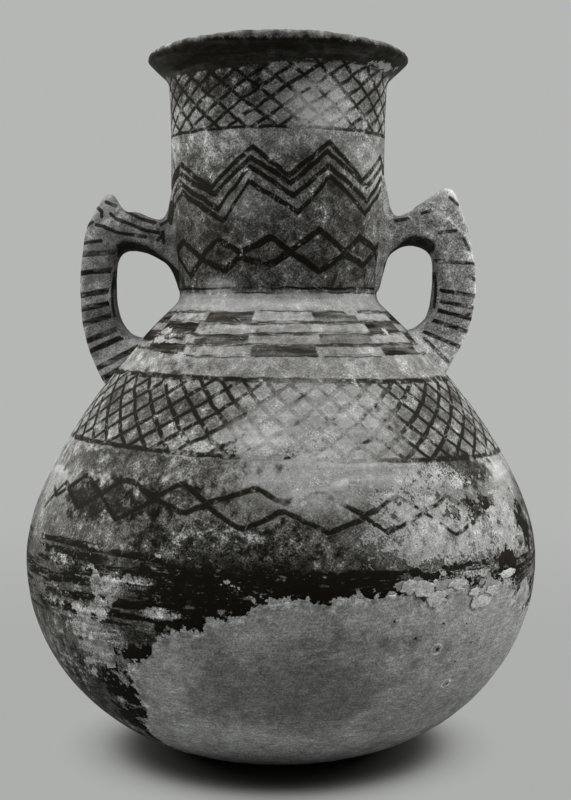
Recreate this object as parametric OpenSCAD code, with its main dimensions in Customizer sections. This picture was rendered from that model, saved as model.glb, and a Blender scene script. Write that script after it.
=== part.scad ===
// Two-handled pottery jar, hand built from a base disc, belly, shoulder, neck and lip,
// with two horned loop handles luted on and one broken area of the belly filled with plaster.
// Millimetres, +Z up. The origin is the middle of the flat face that the jar stands on.
// The front of the jar faces -Y, and the handles stand out along -X (left) and +X (right).

/* [Body] */
// Radius of the flat face that the jar stands on
base_r = 35; // [28:1:45]
// Radius of the base disc, at the seam where the belly wall starts
disc_r = 70; // [60:1:80]
// Widest radius of the belly
belly_r = 155.5; // [140:0.5:170]
// Height of the belly's widest circle
belly_h = 117; // [105:1:130]
// How far the underside runs out flat before it turns up
underside_pull = 62; // [50:1:70]
// How far the belly stays upright below its widest circle
belly_low_pull = 65; // [50:1:75]
// How far the belly stays upright above its widest circle
belly_high_pull = 53; // [40:1:65]
// Height of the seam between belly wall and shoulder wall over the widest circle
seam_rise = 20; // [12:1:40]
// How far each seam slopes through the wall
seam_lap = 6; // [2:0.5:9]
// Height from the widest circle to the foot of the neck
shoulder_h = 156; // [140:1:175]
// Slope of the shoulder at the foot of the neck, in degrees
shoulder_slope = 42; // [36:1:48]
// How far the shoulder keeps that slope
shoulder_pull = 46; // [36:1:56]

/* [Neck and lip] */
// Radius at the foot of the neck
neck_foot_r = 60; // [54:0.5:66]
// How far the neck leans out above its foot
neck_foot_lean = 9; // [4:0.5:13]
// Height over which the foot of the neck turns upright
neck_foot_pull = 37; // [25:1:50]
// Radius at the top of the neck, under the lip
neck_top_r = 67.5; // [62:0.5:74]
// How far the neck is drawn in below its top
neck_top_lean = 3.5; // [1:0.5:6]
// Height over which the top of the neck turns outward
neck_top_pull = 44; // [30:1:55]
// Height of the neck, from its foot to the lip
neck_h = 133; // [115:1:150]
// How far the lip stands out past the neck
lip_reach = 12; // [8:0.5:16]
// Height of the lip's flare
lip_rise = 14; // [10:0.5:18]
// How far the lip runs on upright before it flares
lip_turn = 4; // [2:0.5:6]
// Slope of the lip's underside at its edge, in degrees
lip_slope = 45; // [35:1:55]
// How far the underside of the lip keeps that slope
lip_pull = 9; // [6:0.5:12]

/* [Walls] */
// Thickness of the base disc at its middle
floor_t = 9; // [7:0.5:12]
// Thickness of the wall at the widest circle
belly_t = 7; // [5:0.5:9]
// Thickness of the neck wall
neck_t = 6; // [4.5:0.5:8]
// Thickness of the lip at its edge
lip_t = 5; // [4:0.5:7]

/* [Plaster fill] */
// Height of the highest point of the fill
fill_h = 117; // [90:1:125]
// Angle where the fill starts, from the front towards the right handle
fill_from = -41; // [-60:1:-25]
// Angle where the fill ends
fill_to = 98; // [80:1:120]

/* [Both handles] */
// Depth of each handle from its front face to its back face
handle_w = 30; // [24:0.5:34]
// How square the handle's section is, where 2 is an oval
handle_square = 2.8; // [2:0.1:4]
// How far each leg leans in at its foot, in degrees
leg_lean = 28; // [18:1:36]
// How far each leg keeps that lean above its foot
leg_pull = 16; // [10:1:22]
// Radius of the tenons that pass through the wall
tenon_r = 8; // [6:0.5:9]
// Radius of the luting clay on the neck
arm_lute_r = 22; // [18:0.5:25]
// How far that luting clay runs out along the arm
arm_lute_run = 15; // [10:0.5:18]
// Radius of the luting clay on the shoulder
foot_lute_r = 21.5; // [19:0.5:24]
// How far that luting clay runs up the leg
foot_lute_run = 13; // [9:0.5:16]
// Radius of each horn where it rises from the arm
horn_r = 12; // [9:0.5:12]

/* [Left handle] */
// Height of the arm's middle over the foot of the neck
left_arm_rise = 40; // [34:1:48]
// Distance from the jar's axis to the middle of the leg
left_reach = 111.5; // [104:0.5:120]
// Thickness of the arm, seen from the front
left_arm_t = 22; // [18:0.5:26]
// Thickness of the leg, seen from the front
left_leg_t = 21.5; // [18:0.5:26]
// Radius of the elbow along the handle's middle
left_elbow_r = 15; // [14:0.5:20]
// Height from the leg's foot up to the foot of the neck
left_foot_drop = 37; // [30:1:44]
// Height of the horn's tip over the middle of the arm
left_horn_rise = 25; // [20:0.5:30]
// How far the horn stands inside the middle of the leg
left_horn_inset = 6; // [2:0.5:9]
// Radius of the horn's rounded tip
left_horn_tip_r = 4.5; // [3:0.5:6]

/* [Right handle] */
// Height of the arm's middle over the foot of the neck
right_arm_rise = 44; // [38:1:52]
// Distance from the jar's axis to the middle of the leg
right_reach = 108.5; // [102:0.5:117]
// Thickness of the arm, seen from the front
right_arm_t = 21; // [18:0.5:26]
// Thickness of the leg, seen from the front
right_leg_t = 25.5; // [20:0.5:28]
// Radius of the elbow along the handle's middle
right_elbow_r = 15.5; // [15:0.5:20]
// Height from the leg's foot up to the foot of the neck
right_foot_drop = 34; // [28:1:42]
// Height of the horn's tip over the middle of the arm
right_horn_rise = 23; // [18:0.5:28]
// How far the horn stands inside the middle of the leg
right_horn_inset = 5; // [2:0.5:8]
// Radius of the horn's rounded tip
right_horn_tip_r = 6; // [4:0.5:7]

/* [Hidden] */
$fn = 120;

// Steps along each stretch of the profile, and round the end of the lip
CURVE_STEPS = 14;
LIP_STEPS = 8;
// Rings along a handle's arm, elbow and leg, and sides round its section
ARM_STEPS = 5;
ELBOW_STEPS = 7;
LEG_STEPS = 10;
HANDLE_SIDES = 20;
// Halvings in a search for a point on the profile
SEARCH_STEPS = 30;
// How far a cutting shape runs past what it cuts, and its steps round the back of the jar
OVERCUT = 30;
BACK_STEPS = 9;
// The part of a quarter turn that a lute's flare follows, in degrees, and its steps
LUTE_FROM = 15;
LUTE_TO = 60;
LUTE_STEPS = 6;
// How far the thin end of a lute is sunk into the handle
LUTE_BITE = 1.5;
// Where the rounded tip of a horn starts, in degrees from level
HORN_TIP_FROM = 25;

CLAY_PALE = [0.62, 0.61, 0.58];
CLAY_GREY = [0.45, 0.44, 0.42];
CLAY_DARK = [0.34, 0.33, 0.31];
PAINT_BLACK = [0.12, 0.115, 0.11];
PLASTER_GREY = [0.47, 0.47, 0.46];

neck_z = belly_h + shoulder_h;
neck_top_z = neck_z + neck_h;

// The four stretches of the outer profile, as curves of four points in radius and height
UNDER = 0;
SHOULDER = 1;
NECK = 2;
LIP = 3;
neck_top = [neck_top_r, neck_top_z];
neck_top_dir = unit([neck_top_lean, neck_top_pull]);
lip_end = [neck_top_r + lip_reach, neck_top_z + lip_rise];
CURVES = [
    [
        [base_r, 0],
        [base_r + underside_pull, 0],
        [belly_r, belly_h - belly_low_pull],
        [belly_r, belly_h]
    ],
    [
        [belly_r, belly_h],
        [belly_r, belly_h + belly_high_pull],
        [neck_foot_r, neck_z] + shoulder_pull * [cos(shoulder_slope), -sin(shoulder_slope)],
        [neck_foot_r, neck_z]
    ],
    [
        [neck_foot_r, neck_z],
        [neck_foot_r + neck_foot_lean, neck_z + neck_foot_pull],
        neck_top - [neck_top_lean, neck_top_pull],
        neck_top
    ],
    [
        neck_top,
        neck_top + lip_turn * neck_top_dir,
        lip_end - lip_pull * [cos(lip_slope), sin(lip_slope)],
        lip_end
    ]
];
WALLS = [[floor_t, belly_t], [belly_t, neck_t], [neck_t, neck_t], [neck_t, lip_t]];

function unit(v) = v / norm(v);
function mix(a, b, t) = a + (b - a) * t;
function curve(p, t) =
    pow(1 - t, 3) * p[0] + 3 * t * pow(1 - t, 2) * p[1] + 3 * t * t * (1 - t) * p[2] + pow(t, 3) * p[3];
function slope(p, t) =
    3 * pow(1 - t, 2) * (p[1] - p[0]) + 6 * t * (1 - t) * (p[2] - p[1]) + 3 * t * t * (p[3] - p[2]);

// A point on the outer face, and the point across the wall from it
function outer(k, t) = curve(CURVES[k], t);
function inner(k, t) =
    let (d = unit(slope(CURVES[k], t)))
    outer(k, t) - mix(WALLS[k][0], WALLS[k][1], t) * [d[1], -d[0]];

// Points along a stretch of the outer or the inner face
function outer_run(k, from, to) = [for (i = [0:CURVE_STEPS]) outer(k, mix(from, to, i / CURVE_STEPS))];
function inner_run(k, from, to) = [for (i = [0:CURVE_STEPS]) inner(k, mix(from, to, i / CURVE_STEPS))];
function without_first(list) = [for (i = [1:len(list) - 1]) list[i]];
function reversed(list) = [for (i = [len(list) - 1:-1:0]) list[i]];

// Where a stretch reaches a radius (axis 0) or a height (axis 1) that rises or falls along it
function place_on(k, axis, value, from = 0, to = 1, n = SEARCH_STEPS) =
    let (
        middle = (from + to) / 2,
        rising = CURVES[k][3][axis] > CURVES[k][0][axis],
        below = outer(k, middle)[axis] < value
    )
    n == 0 ? middle
        : below == rising ? place_on(k, axis, value, middle, to, n - 1)
        : place_on(k, axis, value, from, middle, n - 1);
// The same seam on the inner face, further along by the lap
function lapped(k, t) = t + seam_lap / norm(slope(CURVES[k], t));

disc_seam = place_on(UNDER, 0, disc_r);
disc_seam_in = lapped(UNDER, disc_seam);
belly_seam = place_on(SHOULDER, 1, belly_h + seam_rise);
belly_seam_in = lapped(SHOULDER, belly_seam);

// The rounded edge of the lip, from its underside over to its top
lip_edge = let (
        from = outer(LIP, 1),
        middle = (from + inner(LIP, 1)) / 2,
        start = atan2(from[1] - middle[1], from[0] - middle[0])
    )
    [for (i = [1:LIP_STEPS - 1])
        middle + lip_t / 2 * [cos(start + 180 * i / LIP_STEPS), sin(start + 180 * i / LIP_STEPS)]];

// The outline of the fill's broken edge: share of the way round, and share of its height
FILL_EDGE = [
    [0, 0], [0.05, 0.4], [0.06, 0.61], [0.11, 0.77], [0.18, 0.84], [0.26, 0.97], [0.46, 1],
    [0.52, 0.93], [0.6, 0.98], [0.65, 0.91], [0.69, 0.99], [0.73, 0.91], [0.84, 0.79],
    [0.93, 0.5], [1, 0]
];
fill_inside_r = base_r;
fill_outside_r = belly_r + OVERCUT;

// The sizes of the two handles, left then right
LEFT = 0;
RIGHT = 1;
ARM_Z = [neck_z + left_arm_rise, neck_z + right_arm_rise];
REACH = [left_reach, right_reach];
ARM_T = [left_arm_t, right_arm_t];
LEG_T = [left_leg_t, right_leg_t];
ELBOW_R = [left_elbow_r, right_elbow_r];
FOOT_Z = [neck_z - left_foot_drop, neck_z - right_foot_drop];
HORN_RISE = [left_horn_rise, right_horn_rise];
HORN_INSET = [left_horn_inset, right_horn_inset];
HORN_TIP_R = [left_horn_tip_r, right_horn_tip_r];

// How deep the roots of the handles run into the wall before they are trimmed to it
root_depth = 2 * max(belly_t, neck_t);
leg_dir = [sin(leg_lean), cos(leg_lean)];

function arm_root(s) = outer(NECK, place_on(NECK, 1, ARM_Z[s]));
function leg_foot(s) = outer(SHOULDER, place_on(SHOULDER, 1, FOOT_Z[s]));
// Angle of the shoulder's face from level, at the foot of a leg
function foot_tilt(s) =
    let (d = slope(CURVES[SHOULDER], place_on(SHOULDER, 1, FOOT_Z[s])))
    atan2(d[1], -d[0]);

// The middle of a handle from neck to shoulder: distance from the axis, height and thickness
function handle_path(s) =
    let (
        root = arm_root(s) - [root_depth, 0],
        centre = [REACH[s] - ELBOW_R[s], ARM_Z[s] - ELBOW_R[s]],
        bend = [centre[0], ARM_Z[s]],
        knee = [REACH[s], centre[1]],
        foot = leg_foot(s),
        leg = [knee, [REACH[s], mix(knee[1], foot[1], 1 / 3)], foot + leg_pull * leg_dir, foot],
        arm_points = [for (i = [0:ARM_STEPS - 1]) mix(root, bend, i / ARM_STEPS)],
        elbow_points = [for (i = [0:ELBOW_STEPS])
            centre + ELBOW_R[s] * [sin(90 * i / ELBOW_STEPS), cos(90 * i / ELBOW_STEPS)]],
        leg_points = [for (i = [1:LEG_STEPS]) curve(leg, i / LEG_STEPS)]
    )
    concat(
        [for (p = arm_points) [p[0], p[1], ARM_T[s]]],
        [for (i = [0:ELBOW_STEPS])
            [elbow_points[i][0], elbow_points[i][1], mix(ARM_T[s], LEG_T[s], i / ELBOW_STEPS)]],
        [for (p = leg_points) [p[0], p[1], LEG_T[s]]],
        [concat(foot - root_depth * leg_dir, [LEG_T[s]])]
    );

// One share of the way from the middle of a squared oval to its edge
function squared(x) = sign(x) * pow(abs(x), 2 / handle_square);
// The section of a handle at one step of its path
function handle_ring(path, i) =
    let (
        before = path[max(i - 1, 0)],
        after = path[min(i + 1, len(path) - 1)],
        along = unit([after[0] - before[0], after[1] - before[1]])
    )
    [for (j = [0:HANDLE_SIDES - 1])
        let (
            turn = -360 * j / HANDLE_SIDES,
            across = path[i][2] / 2 * squared(cos(turn)),
            aside = handle_w / 2 * squared(sin(turn))
        )
        [path[i][0] - across * along[1], aside, path[i][1] + across * along[0]]];

// A closed skin through rings of points, all with the same count, with flat ends or in a loop.
// A loop splits its faces along the other diagonal, so that it meets a strip face to face.
module skin(rings, loop = false) {
    count = len(rings[0]);
    last = (len(rings) - 1) * count;
    sides = [for (i = [0:len(rings) - (loop ? 1 : 2)], j = [0:count - 1])
        let (
            k = (j + 1) % count,
            here = i * count,
            next = (i + 1) % len(rings) * count
        )
        each loop
            ? [[here + j, next + k, here + k], [here + j, next + j, next + k]]
            : [[here + j, next + j, here + k], [here + k, next + j, next + k]]];
    ends = [for (j = [1:count - 2]) each [[0, j, j + 1], [last, last + j + 1, last + j]]];
    polyhedron(points = [for (ring = rings) each ring], faces = concat(sides, loop ? [] : ends));
}

// A form of revolution, whose turn starts and ends at the back of the jar
module turned(points) {
    rotate([0, 0, 90]) rotate_extrude() polygon(points);
}
// A wall section turned from its outer and its inner points
module turned_wall(outside, inside) {
    turned(concat(outside, reversed(inside)));
}

// The jar's outer form as one solid, and the space inside it, in the same steps as the walls
module outer_form() {
    points = concat(
        outer_run(UNDER, 0, disc_seam),
        without_first(outer_run(UNDER, disc_seam, 1)),
        without_first(outer_run(SHOULDER, 0, belly_seam)),
        without_first(outer_run(SHOULDER, belly_seam, 1)),
        without_first(outer_run(NECK, 0, 1)),
        without_first(outer_run(LIP, 0, 1))
    );
    turned(concat([[0, 0]], points, [[0, lip_end[1]]]));
}
module hollow() {
    points = concat(
        inner_run(UNDER, 0, disc_seam_in),
        without_first(inner_run(UNDER, disc_seam_in, 1)),
        without_first(inner_run(SHOULDER, 0, belly_seam_in)),
        without_first(inner_run(SHOULDER, belly_seam_in, 1)),
        inner_run(NECK, 0, 1),
        without_first(inner_run(LIP, 0, 1))
    );
    turned(concat([[0, floor_t]], points, [[0, inner(LIP, 1)[1]]]));
}

// A cut through the wall at one angle, between two heights
function wall_cut(angle, low, high) =
    let (way = [sin(angle), -cos(angle)])
    [
        concat(fill_inside_r * way, [low]),
        concat(fill_outside_r * way, [low]),
        concat(fill_outside_r * way, [high]),
        concat(fill_inside_r * way, [high])
    ];
// The broken area of the belly, and all that is left of the belly round and above it
module fill_block() {
    skin([for (p = FILL_EDGE) wall_cut(mix(fill_from, fill_to, p[0]), -OVERCUT, p[1] * fill_h)]);
}
module kept_block() {
    front = [for (p = FILL_EDGE) wall_cut(mix(fill_from, fill_to, p[0]), p[1] * fill_h, neck_z)];
    back = [for (i = [1:BACK_STEPS - 1])
        wall_cut(mix(fill_to, fill_from + 360, i / BACK_STEPS), 0, neck_z)];
    skin(concat(front, back), loop = true);
}
module whole_belly() {
    turned_wall(
        concat(outer_run(UNDER, disc_seam, 1), without_first(outer_run(SHOULDER, 0, belly_seam))),
        concat(inner_run(UNDER, disc_seam_in, 1), without_first(inner_run(SHOULDER, 0, belly_seam_in)))
    );
}

// Children built for the right side, put on either side
module at_side(s) {
    if (s == LEFT) mirror([1, 0, 0]) children();
    else children();
}
// Children standing on the neck at an arm, or on the shoulder at a leg's foot
module at_arm(s) {
    translate([arm_root(s)[0], 0, ARM_Z[s]]) rotate([0, 90, 0]) children();
}
module at_foot(s, lean) {
    translate([leg_foot(s)[0], 0, FOOT_Z[s]]) rotate([0, lean, 0]) children();
}

module tenon() {
    translate([0, 0, -root_depth]) cylinder(r = tenon_r, h = root_depth + tenon_r);
}
module arm_tenon(s) {
    at_arm(s) tenon();
}
module foot_tenon(s) {
    at_foot(s, leg_lean) tenon();
}
module handle_skin(s) {
    path = handle_path(s);
    skin([for (i = [0:len(path) - 1]) handle_ring(path, i)]);
}

// A flare of clay round the root of a handle, from the wall out to a smaller radius
module lute(wall_r, end_r, run) {
    flare = [for (i = [0:LUTE_STEPS])
        let (q = mix(LUTE_FROM, LUTE_TO, i / LUTE_STEPS))
        [
            mix(wall_r, end_r, (sin(q) - sin(LUTE_FROM)) / (sin(LUTE_TO) - sin(LUTE_FROM))),
            run * (cos(LUTE_FROM) - cos(q)) / (cos(LUTE_FROM) - cos(LUTE_TO))
        ]];
    rotate_extrude() polygon(concat([[0, -root_depth], [wall_r, -root_depth]], flare, [[0, run]]));
}

// The clay wall, from the ground up
module base_disc() {
    color(CLAY_GREY)
    turned_wall(
        concat([[0, 0]], outer_run(UNDER, 0, disc_seam)),
        concat([[0, floor_t]], inner_run(UNDER, 0, disc_seam_in))
    );
}
module belly_wall() {
    color(CLAY_GREY)
    intersection() {
        whole_belly();
        kept_block();
    }
}
module shoulder_wall() {
    color(CLAY_PALE)
    difference() {
        turned_wall(outer_run(SHOULDER, belly_seam, 1), inner_run(SHOULDER, belly_seam_in, 1));
        for (s = [LEFT, RIGHT]) at_side(s) foot_tenon(s);
    }
}
module neck_wall() {
    color(CLAY_DARK)
    difference() {
        turned_wall(outer_run(NECK, 0, 1), concat([inner(SHOULDER, 1)], inner_run(NECK, 0, 1)));
        for (s = [LEFT, RIGHT]) at_side(s) arm_tenon(s);
    }
}
module rim_lip() {
    color(PAINT_BLACK) turned_wall(concat(outer_run(LIP, 0, 1), lip_edge), inner_run(LIP, 0, 1));
}
module plaster_fill() {
    color(PLASTER_GREY)
    intersection() {
        whole_belly();
        fill_block();
    }
}

// A loop handle, trimmed to the wall, with a tenon through the wall at each end
module handle(s) {
    color(CLAY_PALE)
    at_side(s)
    union() {
        difference() {
            handle_skin(s);
            outer_form();
        }
        difference() {
            union() {
                arm_tenon(s);
                foot_tenon(s);
            }
            hollow();
        }
    }
}

// The horn that stands on the elbow of a handle
module horn(s) {
    tip_r = HORN_TIP_R[s];
    tip_z = HORN_RISE[s] - tip_r;
    tip = [for (i = [0:LIP_STEPS])
        let (q = mix(HORN_TIP_FROM, 90, i / LIP_STEPS))
        [tip_r * cos(q), tip_z + tip_r * sin(q)]];
    flank = [[horn_r, 0], [horn_r, ARM_T[s] / 2], tip[0] + [tip_r, -tip_r], tip[0]];
    flank_points = [for (i = [0:CURVE_STEPS]) curve(flank, i / CURVE_STEPS)];
    color(CLAY_GREY)
    at_side(s)
    difference() {
        translate([REACH[s] - HORN_INSET[s], 0, ARM_Z[s]])
        rotate_extrude()
        polygon(concat([[0, 0]], flank_points, without_first(tip)));
        handle_skin(s);
    }
}

// The luting clay at the two roots of a handle
module arm_lute(s) {
    color(CLAY_GREY)
    at_side(s)
    difference() {
        at_arm(s) lute(arm_lute_r, ARM_T[s] / 2 - LUTE_BITE, arm_lute_run);
        handle_skin(s);
        outer_form();
    }
}
module foot_lute(s) {
    tilt = foot_tilt(s);
    drift = foot_lute_run * tan(abs(tilt - leg_lean));
    end_r = max(LUTE_BITE, LEG_T[s] / 2 - LUTE_BITE - drift);
    color(CLAY_PALE)
    at_side(s)
    difference() {
        at_foot(s, tilt) lute(foot_lute_r, end_r, foot_lute_run);
        handle_skin(s);
        outer_form();
    }
}

module left_handle() handle(LEFT);
module right_handle() handle(RIGHT);
module left_horn() horn(LEFT);
module right_horn() horn(RIGHT);
module left_arm_lute() arm_lute(LEFT);
module right_arm_lute() arm_lute(RIGHT);
module left_foot_lute() foot_lute(LEFT);
module right_foot_lute() foot_lute(RIGHT);

base_disc();
belly_wall();
shoulder_wall();
neck_wall();
rim_lip();
plaster_fill();
left_handle();
right_handle();
left_horn();
right_horn();
left_arm_lute();
right_arm_lute();
left_foot_lute();
right_foot_lute();
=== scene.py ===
"""Looks of a hand-built, painted two-handled pottery jar with a plaster repair.

The walls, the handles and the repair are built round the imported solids, in the same frame: +Z up, the
painted front towards -Y, the handles along -X and +X. Sizes are in millimetres until a mesh is made.
"""

import math
from functools import reduce

import bmesh
import bpy
import numpy as np
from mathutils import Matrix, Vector, noise
from mathutils.geometry import delaunay_2d_cdt


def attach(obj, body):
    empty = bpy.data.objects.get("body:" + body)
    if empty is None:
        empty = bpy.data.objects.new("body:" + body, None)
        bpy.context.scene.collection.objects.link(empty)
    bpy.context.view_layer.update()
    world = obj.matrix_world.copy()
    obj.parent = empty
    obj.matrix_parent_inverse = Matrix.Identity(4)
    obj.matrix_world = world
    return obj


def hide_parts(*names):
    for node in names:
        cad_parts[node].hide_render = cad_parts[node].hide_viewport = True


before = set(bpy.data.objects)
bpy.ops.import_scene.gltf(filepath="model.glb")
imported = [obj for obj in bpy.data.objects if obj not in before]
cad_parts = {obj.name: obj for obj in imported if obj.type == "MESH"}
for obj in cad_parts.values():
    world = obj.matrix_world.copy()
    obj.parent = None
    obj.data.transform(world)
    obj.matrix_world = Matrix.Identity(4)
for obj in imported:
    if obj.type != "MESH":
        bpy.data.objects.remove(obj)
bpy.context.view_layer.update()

MM = 0.001
FAR_OFF = 99

# Camera: pixels of the photograph's frame, and the size of one pixel at the jar's axis
FRAME_W, FRAME_H = 571, 800
PIXEL = 0.62
EYE_ROW = 310
AXIS_COLUMN = 279.5
EYE_H = 266.5
EYE_DISTANCE = 930

# Outer profile, as curves of four points in radius and height, and the wall at both ends of each curve
BASE_R = 35
DISC_R = 70
BELLY_R, BELLY_H = 155.5, 117
NECK_R, NECK_H = 60, 273
NECK_TOP_R, NECK_TOP_H = 67.5, 406
LIP_R, LIP_H = 79.5, 420
FLOOR_T, BELLY_T, NECK_T, LIP_T = 9, 7, 6, 5
SHOULDER_SLOPE = math.radians(42)
SHOULDER_PULL = 46
PROFILE_CURVES = (
    ((BASE_R, 0), (97, 0), (BELLY_R, 52), (BELLY_R, BELLY_H)),
    (
        (BELLY_R, BELLY_H),
        (BELLY_R, 170),
        (NECK_R + SHOULDER_PULL * math.cos(SHOULDER_SLOPE), NECK_H - SHOULDER_PULL * math.sin(SHOULDER_SLOPE)),
        (NECK_R, NECK_H),
    ),
    ((NECK_R, NECK_H), (69, 310), (64, 362), (NECK_TOP_R, NECK_TOP_H)),
    ((NECK_TOP_R, NECK_TOP_H), (67.8, 410), (73.1, 413.6), (LIP_R, LIP_H)),
)
PROFILE_WALLS = ((FLOOR_T, BELLY_T), (BELLY_T, NECK_T), (NECK_T, NECK_T), (NECK_T, LIP_T))
BELLY_SEAM_H = 137
SEAM_LAP = 6
FOOT_EASE = 5.0
CURVE_SAMPLES = 240
EASE_SAMPLES = 9
LIP_ROUND_ROWS = 9

# Mesh steps: columns round the jar, and rows along the outer and the inner face
COLUMNS = 512
OUTER_STEP = 2.0
LIP_STEP = 0.8
INNER_STEP = 5.0
WELD = 0.01


def bezier(points, t):
    """Points and directions along a curve of four points."""
    p = np.array(points, float)
    t = np.asarray(t, float)[:, None]
    place = (1 - t) ** 3 * p[0] + 3 * t * (1 - t) ** 2 * p[1] + 3 * t * t * (1 - t) * p[2] + t ** 3 * p[3]
    way = 3 * (1 - t) ** 2 * (p[1] - p[0]) + 6 * t * (1 - t) * (p[2] - p[1]) + 3 * t * t * (p[3] - p[2])
    return place, way / np.linalg.norm(way, axis=1)[:, None]


def profile_table():
    """The outer face, the inner face across the wall from it, and the length along the outer face."""
    share = np.linspace(0, 1, CURVE_SAMPLES)
    flat = np.stack([share * BASE_R, 0 * share], axis=1)
    outer, inner = [flat], [flat + (0, FLOOR_T)]
    for curve, (wall_from, wall_to) in zip(PROFILE_CURVES, PROFILE_WALLS):
        place, way = bezier(curve, share)
        wall = wall_from + (wall_to - wall_from) * share
        outer.append(place)
        inner.append(place + wall[:, None] * np.stack([-way[:, 1], way[:, 0]], axis=1))
    outer, inner = np.concatenate(outer), np.concatenate(inner)
    steps = np.linalg.norm(np.diff(outer, axis=0), axis=1)
    way = np.concatenate([[0], np.cumsum(steps)])
    foot = np.interp(NECK_H, outer[:, 1], way)
    near = abs(way - foot) < FOOT_EASE * 2
    eased = [
        [np.interp(place + FOOT_EASE * np.linspace(-1, 1, EASE_SAMPLES), way, outer[:, axis]).mean() for axis in (0, 1)]
        for place in way[near]
    ]
    share = np.clip(2 - abs(way[near] - foot) / FOOT_EASE, 0, 1)[:, None]
    outer[near] += (np.array(eased) - outer[near]) * share
    return outer, inner, way


OUTER, INNER, WAY = profile_table()


def way_at_height(height):
    """Length along the outer face at a height."""
    return np.interp(height, OUTER[:, 1], WAY)


def wall_point(way, inside=False):
    """Radius and height at a length along the profile."""
    face = INNER if inside else OUTER
    return np.stack([np.interp(way, WAY, face[:, 0]), np.interp(way, WAY, face[:, 1])], axis=-1)


DISC_WAY = float(np.interp(DISC_R, OUTER[:, 0][WAY < way_at_height(BELLY_H)], WAY[WAY < way_at_height(BELLY_H)]))
SEAM_WAY = float(way_at_height(BELLY_SEAM_H))
NECK_WAY = float(way_at_height(NECK_H))
LIP_WAY = float(way_at_height(NECK_TOP_H))
EDGE_WAY = float(WAY[-1])


def on_wall(column, row):
    """Turn in degrees from the front, and height, where a pixel of the photograph falls on the jar."""
    side = (column - AXIS_COLUMN) * PIXEL / EYE_DISTANCE
    up = (EYE_ROW - row) * PIXEL / EYE_DISTANCE
    reach = np.arange(EYE_DISTANCE - BELLY_R - 5, EYE_DISTANCE + 5, 0.05)
    x, y, z = side * reach, reach - EYE_DISTANCE, EYE_H + up * reach
    outside = np.hypot(x, y) - np.interp(z, OUTER[:, 1], OUTER[:, 0])
    hit = np.argmax(outside <= 0) if (outside <= 0).any() else np.argmin(outside)
    return math.degrees(math.atan2(x[hit], -y[hit])), float(z[hit])


def add_camera():
    """The camera at the photograph's angle."""
    data = bpy.data.cameras.new("photo_camera")
    data.sensor_width = 36
    data.lens = data.sensor_width * EYE_DISTANCE / PIXEL / FRAME_H
    data.shift_y = (EYE_ROW - FRAME_H / 2) / FRAME_H
    camera = bpy.data.objects.new("photo_camera", data)
    side = (FRAME_W / 2 - AXIS_COLUMN) * PIXEL
    camera.location = (side * MM, -EYE_DISTANCE * MM, EYE_H * MM)
    camera.rotation_euler = (math.pi / 2, 0, 0)
    bpy.context.collection.objects.link(camera)
    bpy.context.scene.camera = camera


# Node trees


def add_node(tree, kind, links=None, **settings):
    """A node with its settings, whose inputs take numbers or other nodes' outputs."""
    node = tree.nodes.new(kind)
    for name, value in settings.items():
        setattr(node, name, value)
    for key, value in (links or {}).items():
        socket = node.inputs[key]
        if isinstance(value, Wire):
            tree.links.new(value.socket, socket)
        elif isinstance(value, bpy.types.NodeSocket):
            tree.links.new(value, socket)
        else:
            socket.default_value = value
    return node


class Wire:
    """The output of a node, which plain arithmetic turns into more nodes."""

    def __init__(self, tree, socket):
        self.tree, self.socket = tree, socket

    def math(self, operation, *others):
        node = add_node(self.tree, "ShaderNodeMath", dict(enumerate((self,) + others)), operation=operation)
        return Wire(self.tree, node.outputs[0])

    def __add__(self, other):
        return self.math("ADD", other)

    def __sub__(self, other):
        return self.math("SUBTRACT", other)

    def __mul__(self, other):
        return self.math("MULTIPLY", other)

    def __truediv__(self, other):
        return self.math("DIVIDE", other)

    def __abs__(self):
        return self.math("ABSOLUTE")

    __radd__ = __add__
    __rmul__ = __mul__

    def __rsub__(self, other):
        return (self * -1) + other

    def least(self, other):
        return self.math("MINIMUM", other)

    def most(self, other):
        return self.math("MAXIMUM", other)

    def rise(self, low, high):
        """0 at low, 1 at high and smooth between, where low may be the larger."""
        links = {"Value": self, "From Min": low, "From Max": high}
        node = add_node(self.tree, "ShaderNodeMapRange", links, interpolation_type="SMOOTHSTEP")
        return Wire(self.tree, node.outputs[0])

    def toward(self, other, share):
        """This value, brought towards another by a share."""
        node = add_node(self.tree, "ShaderNodeMix", {0: share, 2: self, 3: other}, data_type="FLOAT")
        return Wire(self.tree, node.outputs[0])


def topmost(wires):
    """The highest of several values."""
    return reduce(Wire.most, wires)


def new_group(kind, name, inputs, outputs):
    """A node group with named sockets, each input given as a kind and a start value."""
    tree = bpy.data.node_groups.new(name, kind)
    for label, (socket_kind, start) in inputs.items():
        socket = tree.interface.new_socket(label, in_out="INPUT", socket_type="NodeSocket" + socket_kind)
        if start is not None:
            socket.default_value = start
    for label, socket_kind in outputs.items():
        tree.interface.new_socket(label, in_out="OUTPUT", socket_type="NodeSocket" + socket_kind)
    source = tree.nodes.new("NodeGroupInput")
    wires = {label: Wire(tree, source.outputs[label]) for label in inputs}
    return tree, wires, tree.nodes.new("NodeGroupOutput")


# Geometry Nodes: the turned walls and their hand-made unevenness


# Heights in metres: over which the walls leave the floor true, shift sideways, and warp and chip at the lip
OFF_FLOOR = (0.001, 0.012)
SHIFT_RISE = (0.17, 0.29)
WARP_RISE = (0.385, 0.418)
CHIP_RISE = (0.4165, 0.4205)
CHIP_SCALE = 125.0


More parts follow.
